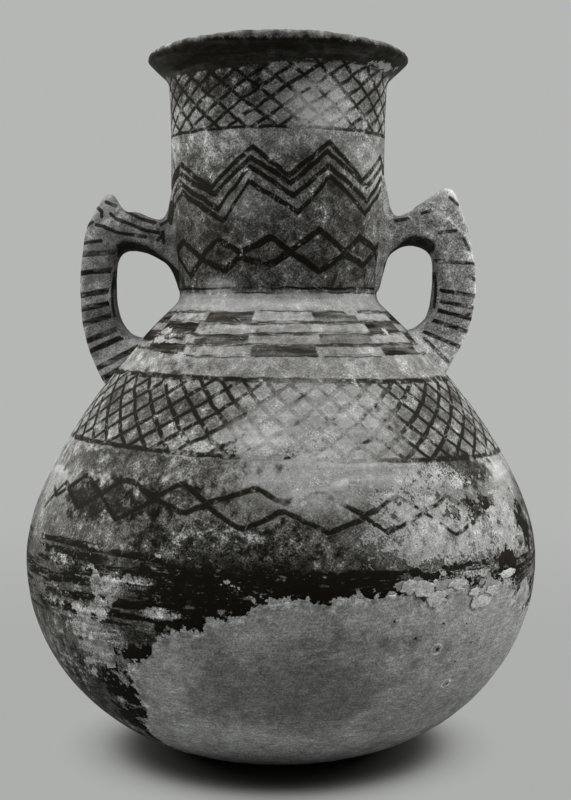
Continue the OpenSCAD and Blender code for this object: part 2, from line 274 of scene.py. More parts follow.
def hand_wobble_group():
    """Pushes a wall in and out and shifts it sideways with its height, as hand building leaves it."""
    inputs = {
        "Geometry": ("Geometry", None),
        "Broad depth": ("Float", 0.0008),
        "Broad scale": ("Float", 13.0),
        "Fine depth": ("Float", 0.00022),
        "Fine scale": ("Float", 70.0),
        "Belly shift": ("Float", 0.0010),
        "Neck shift": ("Float", -0.0009),
        "Lip warp": ("Float", 0.0018),
        "Lip chips": ("Float", 0.0011),
    }
    tree, wires, end = new_group("GeometryNodeTree", "Hand wobble", inputs, {"Geometry": "Geometry"})
    place = add_node(tree, "GeometryNodeInputPosition").outputs[0]
    split = add_node(tree, "ShaderNodeSeparateXYZ", {0: place})
    height = Wire(tree, split.outputs["Z"])
    outward = add_node(tree, "ShaderNodeCombineXYZ", {0: split.outputs["X"], 1: split.outputs["Y"]})
    outward = add_node(tree, "ShaderNodeVectorMath", {0: outward.outputs[0]}, operation="NORMALIZE")

    def uneven(scale, depth, detail):
        links = {"Vector": place, "Scale": scale, "Detail": detail}
        return (Wire(tree, add_node(tree, "ShaderNodeTexNoise", links).outputs[0]) - 0.5) * 2 * depth

    broad = uneven(wires["Broad scale"], wires["Broad depth"], 1.0)
    fine = uneven(wires["Fine scale"], wires["Fine depth"], 3.0)
    off_floor = height.rise(*OFF_FLOOR)
    push = add_node(tree, "ShaderNodeVectorMath", {0: outward.outputs[0]}, operation="SCALE")
    tree.links.new(((broad + fine) * off_floor).socket, push.inputs["Scale"])
    shift = wires["Belly shift"].toward(wires["Neck shift"], height.rise(*SHIFT_RISE)) * off_floor
    x, y = Wire(tree, split.outputs["X"]), Wire(tree, split.outputs["Y"])
    warp = (y * y - x * x) / (x * x + y * y).most(1e-6) * wires["Lip warp"] * height.rise(*WARP_RISE)
    chips = uneven(CHIP_SCALE, wires["Lip chips"], 2.0) * height.rise(*CHIP_RISE)
    shifted = add_node(tree, "ShaderNodeCombineXYZ", {0: shift, 2: warp + chips})
    offset = add_node(tree, "ShaderNodeVectorMath", {0: push.outputs[0], 1: shifted.outputs[0]})
    moved = add_node(tree, "GeometryNodeSetPosition", {"Geometry": wires["Geometry"], "Offset": offset.outputs[0]})
    tree.links.new(moved.outputs[0], end.inputs[0])
    return tree


HAND_WOBBLE = hand_wobble_group()


def finish_tree(tree, geometry, material, end):
    """Realizes what a tree made, shades it smooth and gives it its material."""
    real = add_node(tree, "GeometryNodeRealizeInstances", {0: geometry})
    smooth = add_node(tree, "GeometryNodeSetShadeSmooth", {"Geometry": real.outputs[0]})
    coated = add_node(tree, "GeometryNodeSetMaterial", {"Geometry": smooth.outputs[0], "Material": material})
    tree.links.new(coated.outputs[0], end.inputs[0])


def wobble_node(tree, geometry):
    node = add_node(tree, "GeometryNodeGroup", node_tree=HAND_WOBBLE)
    tree.links.new(geometry, node.inputs["Geometry"])
    return node.outputs[0]


def turned_wall_tree():
    """Turns a section of radius and height, given as a string of points, right round the jar."""
    inputs = {"Geometry": ("Geometry", None), "Columns": ("Int", COLUMNS), "Weld": ("Float", WELD * MM),
              "Material": ("Material", None)}
    tree, wires, end = new_group("GeometryNodeTree", "Turned wall", inputs, {"Geometry": "Geometry"})
    section = wires["Geometry"].socket
    size = add_node(tree, "GeometryNodeAttributeDomainSize", {0: section}, component="MESH")
    rows = Wire(tree, size.outputs["Point Count"])
    columns = wires["Columns"]
    grid = add_node(tree, "GeometryNodeMeshGrid", {"Vertices X": columns + 1, "Vertices Y": rows + 1})
    index = Wire(tree, add_node(tree, "GeometryNodeInputIndex").outputs[0])
    row = index.math("MODULO", rows + 1).math("MODULO", rows)
    turn = (index / (rows + 1)).math("FLOOR") / columns * (2 * math.pi)

    def from_section(value, data_type):
        links = {"Geometry": section, "Value": value, "Index": row}
        return add_node(tree, "GeometryNodeSampleIndex", links, data_type=data_type).outputs[0]

    place = add_node(tree, "GeometryNodeInputPosition").outputs[0]
    split = add_node(tree, "ShaderNodeSeparateXYZ", {0: from_section(place, "FLOAT_VECTOR")})
    radius = Wire(tree, split.outputs["X"])
    spun = {0: radius * turn.math("SINE"), 1: radius * turn.math("COSINE") * -1, 2: split.outputs["Z"]}
    spun = add_node(tree, "ShaderNodeCombineXYZ", spun)
    inside = add_node(tree, "GeometryNodeInputNamedAttribute", {"Name": "inside"}, data_type="FLOAT")
    links = {"Geometry": grid.outputs["Mesh"], "Name": "inside", "Value": from_section(inside.outputs[0], "FLOAT")}
    marked = add_node(tree, "GeometryNodeStoreNamedAttribute", links, data_type="FLOAT", domain="POINT")
    placed = add_node(tree, "GeometryNodeSetPosition", {"Geometry": marked.outputs[0], "Position": spun.outputs[0]})
    links = {"Geometry": placed.outputs[0], "Distance": wires["Weld"]}
    welded = add_node(tree, "GeometryNodeMergeByDistance", links)
    finish_tree(tree, wobble_node(tree, welded.outputs[0]), wires["Material"], end)
    return tree


def worn_sheet_tree():
    """Gives a wall that was cut from a sheet the same unevenness as the turned walls."""
    inputs = {"Geometry": ("Geometry", None), "Material": ("Material", None)}
    tree, wires, end = new_group("GeometryNodeTree", "Worn sheet", inputs, {"Geometry": "Geometry"})
    finish_tree(tree, wobble_node(tree, wires["Geometry"].socket), wires["Material"], end)
    return tree


TURNED_WALL = turned_wall_tree()
WORN_SHEET = worn_sheet_tree()
SEAM_ANGLE = math.radians(50)


def new_object(name, points, edges, faces):
    """An object at the origin from points in millimetres."""
    mesh = bpy.data.meshes.new(name)
    mesh.from_pydata([tuple(p) for p in np.asarray(points) * MM], edges, faces)
    made = bpy.data.objects.new(name, mesh)
    bpy.context.collection.objects.link(made)
    return made


def mark(made, label, values):
    """Gives each point of a mesh a value that its finish reads."""
    made.data.attributes.new(label, "FLOAT", "POINT").data.foreach_set("value", np.asarray(values, np.float32))


def run_tree(made, tree, material):
    """Runs a node tree on an object and keeps the result as its plain mesh."""
    modifier = made.modifiers.new(tree.name, "NODES")
    modifier.node_group = tree
    for socket in tree.interface.items_tree:
        if socket.name == "Material":
            modifier[socket.identifier] = material
    return keep_result(made, material)


def keep_result(made, material):
    """Turns an object's live modifiers into its plain mesh."""
    evaluated = made.evaluated_get(bpy.context.evaluated_depsgraph_get())
    mesh = bpy.data.meshes.new_from_object(evaluated)
    made.modifiers.clear()
    made.data = mesh
    mesh.name = made.name
    if not mesh.materials:
        mesh.materials.append(material)
    return made


def face_outwards(made):
    """Recalculates a closed mesh's faces, and keeps its sharp seams sharp."""
    shape = bmesh.new()
    shape.from_mesh(made.data)
    bmesh.ops.recalc_face_normals(shape, faces=shape.faces)
    shape.to_mesh(made.data)
    shape.free()
    made.data.shade_smooth()
    made.data.set_sharp_from_angle(angle=SEAM_ANGLE)


def settle(made, slot, *nodes):
    """Hangs a finished piece under the root and hides the imported parts that it stands in for."""
    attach(made, "root")
    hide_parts(*nodes)


# The turned walls


def rows_between(start, end, step):
    return np.linspace(start, end, max(2, round(abs(end - start) / step) + 1))


def turned_piece(name, ways_out, ways_in, extra, material):
    """A wall turned from its outer rows, any extra points past them, and its inner rows back to the start."""
    outside, inside = wall_point(ways_out), wall_point(ways_in, inside=True)
    section = np.concatenate([outside, extra, inside])
    marks = np.concatenate([np.zeros(len(outside) + len(extra)), np.ones(len(inside))])
    made = new_object(name, np.stack([section[:, 0], 0 * section[:, 0], section[:, 1]], axis=1), [], [])
    mark(made, "inside", marks)
    run_tree(made, TURNED_WALL, material)
    face_outwards(made)
    return made


NO_POINTS = np.zeros((0, 2))


def lip_rounding():
    """Points over the rounded edge of the lip, from its underside to its top."""
    start, end = OUTER[-1], INNER[-1]
    middle = (start + end) / 2
    from_angle = math.atan2(*(start - middle)[::-1])
    turns = from_angle + np.pi * np.linspace(0, 1, LIP_ROUND_ROWS)[1:-1]
    return middle + LIP_T / 2 * np.stack([np.cos(turns), np.sin(turns)], axis=1)


def add_turned_walls(clay, rim):
    """The base disc, the shoulder, the neck and the lip."""
    walls = (
        ("base_disc_clay", "base_disc", (0, DISC_WAY), (DISC_WAY + SEAM_LAP, 0)),
        ("shoulder_clay", "shoulder_wall", (SEAM_WAY, NECK_WAY), (NECK_WAY - WELD, SEAM_WAY + SEAM_LAP)),
        ("neck_clay", "neck_wall", (NECK_WAY, LIP_WAY), (LIP_WAY, NECK_WAY - WELD)),
    )
    for name, node, outer, inner in walls:
        rows_out, rows_in = rows_between(*outer, OUTER_STEP), rows_between(*inner, INNER_STEP)
        settle(turned_piece(name, rows_out, rows_in, NO_POINTS, clay), "painted_clay", node)
    rows_out, rows_in = rows_between(LIP_WAY, EDGE_WAY, LIP_STEP), rows_between(EDGE_WAY, LIP_WAY, LIP_STEP * 2)
    settle(turned_piece("rim_lip_clay", rows_out, rows_in, lip_rounding(), rim), "rim_paint", "rim_lip")


# The belly wall and the plaster fill, cut from one sheet along the broken edge

# Pixels along the broken edge, from its foot on the left, over the top, to the right contour
BROKEN_EDGE = (
    (152, 735), (146, 725), (148, 712), (140, 698), (134, 680), (127, 673), (140, 663), (151, 655),
    (152, 644), (166, 637), (180, 633), (201, 634), (206, 625), (215, 620), (230, 623), (235, 619),
    (246, 616), (256, 606), (268, 605), (290, 603), (308, 600), (313, 605), (330, 606), (333, 600),
    (352, 600), (375, 600), (390, 596), (414, 597), (426, 604), (437, 606), (445, 601), (450, 591),
    (461, 588), (471, 593), (485, 603), (493, 591), (504, 579), (511, 588), (512, 600), (518, 610),
)
# Its run down the unseen right side, as turn and height, and the turns where it meets the base disc
BROKEN_EDGE_BEHIND = ((75, 92), (88, 60), (96, 25))
BROKEN_EDGE_FEET = (-44, 98)
# The sheet's length for a degree of turn, its steps, and the steps and depth of the broken edge's teeth
SHEET_DEGREE = 2.45
SHEET_STEP = 2.0
EDGE_STEP = 1.5
EDGE_CLEAR = 1.0
EDGE_TEETH = ((7.0, 1.3), (2.6, 0.8))
# Pits in the plaster: pixel, radius of the dish and of the hole, and depth
PITS = (
    ((437, 650), 3.4, 1.0, 2.2), ((394, 622), 1.4, 0.6, 0.9), ((415, 639), 1.6, 0.7, 1.0),
    ((443, 624), 1.2, 0.5, 0.7), ((466, 624), 1.2, 0.5, 0.7), ((470, 643), 1.2, 0.5, 0.7),
    ((446, 684), 1.9, 0.7, 0.9), ((454, 662), 1.2, 0.5, 0.7),
)
PIT_SIDES = 14
PIT_TURNS = 2 * np.pi * np.arange(PIT_SIDES) / PIT_SIDES
PIT_RING = np.stack([np.cos(PIT_TURNS), np.sin(PIT_TURNS)], axis=1)


def uneven(points, size, seed=0.0):
    """Smooth noise from -1 to 1 at each point, with features of about one size."""
    return np.array([noise.noise(Vector((*p, 0.0)[:3]) / size + Vector((seed, 2 * seed, 0))) for p in points])


def on_sheet(turn, height):
    return np.array([turn * SHEET_DEGREE, float(way_at_height(height))])


def broken_edge():
    """The broken edge on the sheet, with its teeth."""
    corners = [on_wall(*pixel) for pixel in BROKEN_EDGE] + list(BROKEN_EDGE_BEHIND)
    line = np.array([on_sheet(*corner) for corner in corners])
    feet = [np.array([turn * SHEET_DEGREE, DISC_WAY]) for turn in BROKEN_EDGE_FEET]
    line = np.concatenate([[feet[0]], line, [feet[1]]])
    run = np.concatenate([[0], np.cumsum(np.linalg.norm(np.diff(line, axis=0), axis=1))])
    places = rows_between(0, run[-1], EDGE_STEP)
    line = np.stack([np.interp(places, run, line[:, i]) for i in (0, 1)], axis=1)
    along = np.gradient(line, axis=0)
    across = np.stack([-along[:, 1], along[:, 0]], axis=1) / np.linalg.norm(along, axis=1)[:, None]
    for size, depth in EDGE_TEETH:
        line[1:-1] += (across * (uneven(line, size, seed=depth) * depth)[:, None])[1:-1]
    return line


def inside_outline(points, outline):
    """Which points lie inside a closed outline."""
    inside = np.zeros(len(points), bool)
    x, y = points[:, 0], points[:, 1]
    for (ax, ay), (bx, by) in zip(outline, np.roll(outline, -1, axis=0)):
        if ay != by:
            inside ^= ((ay > y) != (by > y)) & (x < (bx - ax) * (y - ay) / (by - ay) + ax)
    return inside


def distance_to(points, line):
    """How far each point lies from a line, measured at the line's own points."""
    return np.concatenate([
        np.sqrt(((part[:, None, :] - line[None]) ** 2).sum(axis=2).min(axis=1))
        for part in np.array_split(points, 1 + len(points) // 2000)
    ])


def cut_sheet():
    """The belly as a flat sheet of triangles, cut along the broken edge and with rings round the pits."""
    turns = np.linspace(-180, 180, COLUMNS + 1) * SHEET_DEGREE
    ways = rows_between(DISC_WAY, SEAM_WAY, SHEET_STEP)
    grid = np.stack(np.meshgrid(turns, ways, indexing="ij"), axis=2).reshape(-1, 2)
    border = (abs(grid[:, 0]) == turns[-1]) | (grid[:, 1] == ways[0]) | (grid[:, 1] == ways[-1])
    edge = broken_edge()
    keep = border | (distance_to(grid, edge) > EDGE_CLEAR)
    rings = []
    for pixel, dish, hole, _ in PITS:
        middle = on_sheet(*on_wall(*pixel))
        keep &= border | (np.linalg.norm(grid - middle, axis=1) > dish + EDGE_CLEAR)
        rings.append([middle])
        for radius in (hole * 0.7, hole, hole * 1.3, (hole + dish) / 2, dish * 0.9, dish, dish * 1.15):
            rings.append(middle + radius * PIT_RING)
    points = np.concatenate([grid[keep], edge] + rings)
    first = int(keep.sum())
    links = [(first + i, first + i + 1) for i in range(len(edge) - 1)]
    flat, _, faces, _, _, _ = delaunay_2d_cdt([Vector(p) for p in points], links, [], 0, 1e-4)
    return np.array([tuple(p) for p in flat]), np.array(faces), edge


def close_round(sheet, faces):
    """Joins the sheet's two ends at the back of the jar."""
    right = np.flatnonzero(np.isclose(sheet[:, 0], 180 * SHEET_DEGREE))
    left = np.flatnonzero(np.isclose(sheet[:, 0], -180 * SHEET_DEGREE))
    same = np.arange(len(sheet))
    same[right[np.argsort(sheet[right, 1])]] = left[np.argsort(sheet[left, 1])]
    return same[faces]


def wall_to_space(turns, points):
    """Points of the profile, in radius and height, set out at their turns in degrees."""
    turns = np.radians(turns)
    return np.stack([points[:, 0] * np.sin(turns), -points[:, 0] * np.cos(turns), points[:, 1]], axis=1)


def lifted(sheet, lift):
    """Points of the sheet on the wall's outer face, each lifted off it."""
    turns, ways = sheet[:, 0] / SHEET_DEGREE, sheet[:, 1]
    slope = wall_point(ways + 0.5) - wall_point(ways - 0.5)
    outward = np.stack([slope[:, 1], -slope[:, 0]], axis=1) / np.linalg.norm(slope, axis=1)[:, None]
    return wall_to_space(turns, wall_point(ways) + outward * lift[:, None])


def sheet_solid(sheet, faces, lift):
    """A closed wall over part of the sheet, with its outer face lifted at each point."""
    used, faces = np.unique(faces, return_inverse=True)
    faces = faces.reshape(-1, 3)
    outside = lifted(sheet[used], lift[used])
    inside = wall_to_space(sheet[used, 0] / SHEET_DEGREE, wall_point(sheet[used, 1] + SEAM_LAP, inside=True))
    count = len(used)
    ends = {}
    for a, b, c in faces.tolist():
        for edge in ((a, b), (b, c), (c, a)):
            if edge[::-1] in ends:
                del ends[edge[::-1]]
            else:
                ends[edge] = True
    walls = [[(b, a, a + count), (b, a + count, b + count)] for a, b in ends]
    all_faces = faces.tolist() + (faces[:, ::-1] + count).tolist() + [f for pair in walls for f in pair]
    return np.concatenate([outside, inside]), all_faces, used


# Flakes of plaster over the broken edge: pixel, half sizes in pixels and thickness
FLAKES = (
    ((409, 588), (9, 7.5), 0.5), ((423, 589), (10, 9.5), 0.7), ((435, 583), (2.5, 4.5), 0.5),
    ((436, 599), (10, 8), 0.6), ((457, 584), (9, 5), 0.4), ((473, 592), (5, 4), 0.5),
    ((478, 602), (9, 7.5), 0.5), ((506, 573), (8, 4), 0.5), ((447, 592), (6, 3), 0.4),
    ((490, 590), (6, 4), 0.4),
)
FLAKE_SIDES = 40
FLAKE_BAYS = ((0.6, 0.42), (0.25, 0.2))
FLAKE_ROWS = ((0.4, 1.0), (0.7, 1.0), (0.88, 0.96), (0.96, 0.8), (1.0, 0.3), (1.03, -0.4), (0.9, -1.8))


def flake_shells(first):
    """Closed shells of the flakes on the wall, numbered from a first point, and the painted shade round their edges."""
    points, faces, edge_shades = [], [], []
    for seed, (pixel, half, thick) in enumerate(FLAKES):
        patch = [on_wall(pixel[0] + side * half[0], pixel[1]) for side in (-1, 1)]
        wide = (patch[1][0] - patch[0][0]) / 2 * SHEET_DEGREE
        tall = half[1] * PIXEL * (1 - BELLY_R / EYE_DISTANCE)
        middle = on_sheet(*on_wall(*pixel))
        turns = 2 * np.pi * np.arange(FLAKE_SIDES) / FLAKE_SIDES
        ring = np.stack([np.cos(turns), np.sin(turns)], axis=1)
        bays = sum(depth * uneven(ring, size, seed=seed + 0.5) for size, depth in FLAKE_BAYS)
        ring = ring * (1 + bays)[:, None]
        flat = [middle[None]] + [middle + ring * share * (wide, tall) for share, _ in FLAKE_ROWS] + [middle[None]]
        lifts = [thick] + [thick * height for _, height in FLAKE_ROWS] + [thick * FLAKE_ROWS[-1][1]]
        lifts = np.concatenate([np.full(len(rows), lift) for rows, lift in zip(flat, lifts)])
        flat = np.concatenate(flat)
        lifts = lifts + 0.12 * uneven(flat, 2.2, seed=seed) * (lifts > 0)
        start, count = first + sum(len(p) for p in points), len(FLAKE_ROWS)
        points.append(lifted(flat, lifts))
        rows = np.arange(count * FLAKE_SIDES).reshape(count, FLAKE_SIDES) + start + 1
        last = start + 1 + count * FLAKE_SIDES
        for i in range(FLAKE_SIDES):
            k = (i + 1) % FLAKE_SIDES
            faces.append((start, rows[0, i], rows[0, k]))
            faces += [(rows[r, i], rows[r + 1, i], rows[r + 1, k], rows[r, k]) for r in range(count - 1)]
            faces.append((last, rows[-1, k], rows[-1, i]))
        # Painted shade: the flakes' low outer rows are marked to be darkened, like the pits.
        edge_shade = [0.0] + [float(height < 0.5) for _, height in FLAKE_ROWS for _ in range(FLAKE_SIDES)] + [1.0]
        edge_shades.append(edge_shade)
    return np.concatenate(points), faces, np.concatenate(edge_shades)


CHIP_REACH = 3.5
CHIP_DEPTH = 0.9
CRUMB_REACH = 6.0
FILL_SUNK = 0.35
FILL_RIM = 0.28
FILL_RIM_REACH = 5.0
# Waves of the plaster and of the handles: size and depth, and a seed for the plaster's
FILL_WAVES = ((14.0, 0.18, 7.0), (4.5, 0.06, 9.0))
HANDLE_WAVES = ((12.0, 0.35), (3.5, 0.12))
PIT_LIP = 0.18


def wall_lift(sheet, edge):
    """The belly's edge crumbles down towards the break."""
    near = np.clip(1 - distance_to(sheet, edge) / CHIP_REACH, 0, 1)
    return -CHIP_DEPTH * near * np.clip(0.4 + uneven(sheet, 3.0, seed=5.0), 0, 1)


def fill_lift(sheet, edge):
    """The plaster lies a little low, with a lumpy rim and pits."""
    near = np.clip(1 - distance_to(sheet, edge) / FILL_RIM_REACH, 0, 1) ** 2
    lift = -FILL_SUNK + near * FILL_RIM * (1 + uneven(sheet, 4.0, seed=3.0))
    lift += sum(depth * uneven(sheet, size, seed=seed) for size, depth, seed in FILL_WAVES)
    for pixel, dish, hole, depth in PITS:
        away = np.linalg.norm(sheet - on_sheet(*on_wall(*pixel)), axis=1)
        lift -= depth * np.clip((hole * 1.3 - away) / (hole * 0.6), 0, 1)
        lift += PIT_LIP * np.clip(1 - abs(away - dish) / (dish * 0.2), 0, 1)
    return lift


def pit_shade_mask(sheet):
    """1 in the pits of the plaster, where their shade is painted, and 0 elsewhere."""
    mask = np.zeros(len(sheet))
    for pixel, _, hole, _ in PITS:
        away = np.linalg.norm(sheet - on_sheet(*on_wall(*pixel)), axis=1)
        mask = np.maximum(mask, away <= hole * 1.1)
    return mask


def add_belly(clay, plaster):
    """The belly wall and the plaster that fills its broken area."""
    sheet, faces, edge = cut_sheet()
    middles = sheet[faces].mean(axis=1)
    filled = inside_outline(middles, edge)
    faces = close_round(sheet, faces)
    pieces = (
        ("belly_clay", faces[~filled], wall_lift(sheet, edge), clay, "painted_clay", "belly_wall"),
        ("plaster_fill", faces[filled], fill_lift(sheet, edge), plaster, "plaster", "plaster_fill"),
    )
    for name, part, lift, material, slot, node in pieces:
        points, solid, used = sheet_solid(sheet, part, lift)
        inside = np.repeat([0, 1], len(used))
        near = np.tile(distance_to(sheet[used], edge), 2)
        pit = np.tile(pit_shade_mask(sheet[used]), 2)
        flake = np.zeros(len(points))
        if node == "plaster_fill":
            more, more_faces, edge_shade = flake_shells(len(points))
            points, solid = np.concatenate([points, more]), solid + more_faces
            inside, near = np.append(inside, 0 * edge_shade), np.append(near, 0 * edge_shade + FAR_OFF)
            pit, flake = np.append(pit, edge_shade), np.append(flake, 0 * edge_shade + 1)
        made = new_object(name + "_piece", points, [], solid)
        marks = {"inside": inside, "edge": near, "pit": pit, "flake": flake}
        marks["broken"] = np.clip(1 - near / CRUMB_REACH, 0, 1)
        for label, values in marks.items():
            mark(made, label, values)
        run_tree(made, WORN_SHEET, material)
        face_outwards(made)
        settle(made, slot, node)


# The handles, each lofted through listed rows, then smeared into one skin and parted at its joints

# Rows along a strap and up a horn: inner edge and outer edge as distance from the axis and height, and half
# of the depth from front to back
LEFT_STRAP = (
    (57, 272, 57, 352, 24), (61.5, 277, 64.5, 350, 22), (64.5, 285.5, 67.2, 338, 19.5),
    (68, 292.8, 69.4, 327.5, 17), (72.5, 296.8, 73, 322.4, 15.6), (80, 300.8, 80, 323.6, 15),
    (88, 303, 89, 327, 15), (94.5, 303, 99, 325.5, 15), (98.8, 300.3, 109, 321.5, 15),
    (100.8, 295, 117.5, 312, 15), (101.3, 288, 121, 301, 15), (101.4, 280, 122.6, 287, 15),
    (100.7, 270, 122.4, 271, 15), (98.7, 261, 120.8, 256, 15), (95.2, 255, 117.8, 243.5, 15),
    (91, 251, 114.3, 235, 16.5), (86, 249.3, 111.5, 229, 19), (80.5, 248.5, 109, 224, 21.5),
    (79, 247, 107, 220.5, 22),
)
LEFT_HORN = (
    (84, 310, 121.5, 300, 13.5), (88, 320, 120.3, 310, 13.5), (93, 326.3, 118.2, 318.5, 12.5),
    (97.5, 329.8, 115.2, 324.6, 11), (99.6, 332.6, 112.8, 330.2, 9.5), (101, 335.2, 110.4, 334.2, 8),
    (102.4, 337.2, 108.6, 336.6, 5.5), (104.2, 338.3, 106.8, 338.1, 2.5),
)
RIGHT_STRAP = (
    (57, 274, 57, 352, 24), (61.5, 279, 64.5, 350, 22), (64.3, 289, 66.8, 339, 19.5),
    (67, 298.3, 68.8, 329, 17), (71.5, 303.3, 72.5, 324.4, 15.6), (78.5, 306.3, 80, 327, 15),
    (85, 306, 90, 331, 15), (90.5, 303.8, 100, 328, 15), (94, 300, 109, 323, 15),
    (95.3, 294, 115.5, 313.5, 15), (95.3, 287, 119, 302, 15), (94.8, 280, 120.8, 287.5, 15),
    (93.5, 269.5, 120.2, 271, 15), (91, 262.3, 117.2, 257, 15), (87.3, 258, 112.8, 246, 15),
    (83.5, 255.3, 108, 238, 16.5), (79.5, 254, 105, 232.5, 19), (75, 253.5, 102.5, 228, 21.5),
    (73.5, 252.5, 100.5, 224.5, 22),
)
RIGHT_HORN = (
    (78, 316, 118.5, 303, 13.5), (82.5, 328.3, 117, 314, 13.5), (89, 333.2, 114.4, 321.5, 13),
    (94.6, 337.2, 112.4, 327.5, 12), (98.2, 339.8, 110.9, 332.5, 10.5), (100.6, 341.2, 109.3, 336.5, 8.5),
    (102.4, 341.9, 107.8, 339.6, 6), (104.2, 342, 106.2, 341.4, 2.5),
)
# Where each handle is parted: distance out along the arm, a row of the strap for the foot, and a line under
# the horn
ARM_CUT = 77
FOOT_ROW = 14
LEFT_HORN_CUT = ((90, 325.5), (119.5, 314))
RIGHT_HORN_CUT = ((84, 326), (117.5, 315))
# Rows of the photograph where bars cross each leg, how they slope by height, and strokes along the arms by
# pixel
LEFT_BARS = (254, 272, 293, 306, 319, 334, 343, 356, 365)
RIGHT_BARS = (263, 293, 304, 314, 325, 338)
BAR_SLOPES = ((240, 0.52), (270, 0.20), (300, 0.06))
BAR_INNER_END = -0.72
LEFT_STROKES = (
    ((129, 213), (143, 220), (157, 224)), ((113, 215), (118, 220), (134, 226), (148, 232), (161, 234)),
    ((108, 229), (121, 234), (148, 238)), ((108, 203), (117, 207)), ((100, 209), (104, 213), (104, 218)),
    ((89, 227), (95, 223)), ((99, 226), (107, 228)), ((163, 226), (170, 222)), ((165, 233), (166, 244)),
    ((164, 237), (160, 241)), ((178, 190), (173, 225)), ((173, 204), (171, 222)), ((86, 244), (104, 242)),
)
RIGHT_STROKES = (
    ((394, 222), (406, 220)), ((437, 234), (453, 232)), ((420, 215), (428, 212)), ((422, 338), (445, 361)),
    ((448, 199), (456, 206)), ((461, 240), (466, 250)), ((467, 277), (472, 280)), ((461, 318), (467, 314)),
)
INNER_LINE = -0.86
INNER_LINE_THIN = 1.7
# Painted shade under each arm: how far it reaches in from the arm's inner edge, and how far out from the axis it starts
ARM_SHADE_REACH = 6.0
ARM_SHADE_START = 77
ARM_LENGTH = 50
ELBOW_LENGTH = 38
FOOT_RUBBED = 16
HANDLE_SQUARE = 4.4
HANDLE_SIDES = 32
ROW_STEPS = 6
NECK_BEND_R = 64
NECK_BEND_REACH = 16
SMEAR_VOXEL = 0.9
SMEAR_PASSES = 10


def loft_rows(rows):
    """A smooth run of rows through the given ones."""
    rows = np.array(rows, float)
    ends = np.concatenate([[2 * rows[0] - rows[1]], rows, [2 * rows[-1] - rows[-2]]])
    smooth = []
    for a, b, c, d in zip(ends, ends[1:], ends[2:], ends[3:]):
        for t in np.arange(ROW_STEPS) / ROW_STEPS:
            smooth.append(0.5 * (2 * b + (c - a) * t + (2 * a - 5 * b + 4 * c - d) * t ** 2
                                 + (3 * b - a - 3 * c + d) * t ** 3))
    return np.array(smooth + [rows[-1]])


def squared(value):
    return np.sign(value) * abs(value) ** (2 / HANDLE_SQUARE)


def loft(rows):
    """Rings of points round each row, bent to the neck near it, with their faces."""
    turns = 2 * np.pi * np.arange(HANDLE_SIDES) / HANDLE_SIDES
    points, faces = [], []
    for inner_x, inner_z, outer_x, outer_z, half_depth in rows:
        across, aside = squared(np.cos(turns)), half_depth * squared(np.sin(turns))
        x = (inner_x + outer_x) / 2 + across * (outer_x - inner_x) / 2
        z = (inner_z + outer_z) / 2 + across * (outer_z - inner_z) / 2
        near_neck = np.clip((NECK_BEND_R + NECK_BEND_REACH - x) / NECK_BEND_REACH, 0, 1) * (inner_z > NECK_H - 3)
        points.append(np.stack([x - near_neck * aside ** 2 / (2 * NECK_BEND_R), aside, z], axis=1))
    for i in range(len(rows) - 1):
        for j in range(HANDLE_SIDES):
            k = (j + 1) % HANDLE_SIDES
            here, there = i * HANDLE_SIDES, (i + 1) * HANDLE_SIDES
            faces.append((here + j, here + k, there + k, there + j))
    faces.append(tuple(range(HANDLE_SIDES))[::-1])
    faces.append(tuple((len(rows) - 1) * HANDLE_SIDES + j for j in range(HANDLE_SIDES)))
    return np.concatenate(points), faces


def smeared_handle(name, strap, horn, bars, strokes, side, clay):
    """Strap and horn in one smooth skin, marked at each point with its painted bars and strokes, the painted shade
    under its arm and its rubbed parts.
    """
    strap, horn = loft_rows(strap), loft_rows(horn)
    strap_points, strap_faces = loft(strap)
    horn_points, horn_faces = loft(horn)
    shifted = [tuple(i + len(strap_points) for i in face) for face in horn_faces]
    points = np.concatenate([strap_points, horn_points]) * (side, 1, 1)
    made = new_object(name, points, [], strap_faces + shifted)
    face_outwards(made)
    made.modifiers.new("union", "REMESH").voxel_size = SMEAR_VOXEL * MM
    smoothing = made.modifiers.new("smear", "SMOOTH")
    smoothing.factor, smoothing.iterations = 0.5, SMEAR_PASSES
    keep_result(made, clay)
    for size, depth in HANDLE_WAVES:
        roughen(made, size, depth)
    mark_strap(made, strap, bars, strokes, side)
    return made


def roughen(made, size, depth):
    """Moves each point of a mesh in or out along its normal by smooth noise."""
    moved = [
        point + normal.vector * (noise.noise(point / (size * MM)) * depth * MM)
        for point, normal in zip([vertex.co.copy() for vertex in made.data.vertices], made.data.vertex_normals)
    ]
    made.data.vertices.foreach_set("co", np.array(moved, np.float32).ravel())


def at_axis(pixels):
    """Distance out from the axis and height, where pixels fall on the plane of the handles."""
    pixels = np.array(pixels, float)
    return np.stack([abs(pixels[:, 0] - AXIS_COLUMN) * PIXEL, EYE_H + (EYE_ROW - pixels[:, 1]) * PIXEL], axis=1)


def away_from(points, line):
    """How far each point lies from a line of straight runs."""
    away = np.full(len(points), float(FAR_OFF))
    for start, end in zip(line, line[1:]):
        share = np.clip(((points - start) @ (end - start)) / ((end - start) @ (end - start)), 0, 1)
        away = np.minimum(away, np.linalg.norm(points - start - share[:, None] * (end - start), axis=1))
    return away


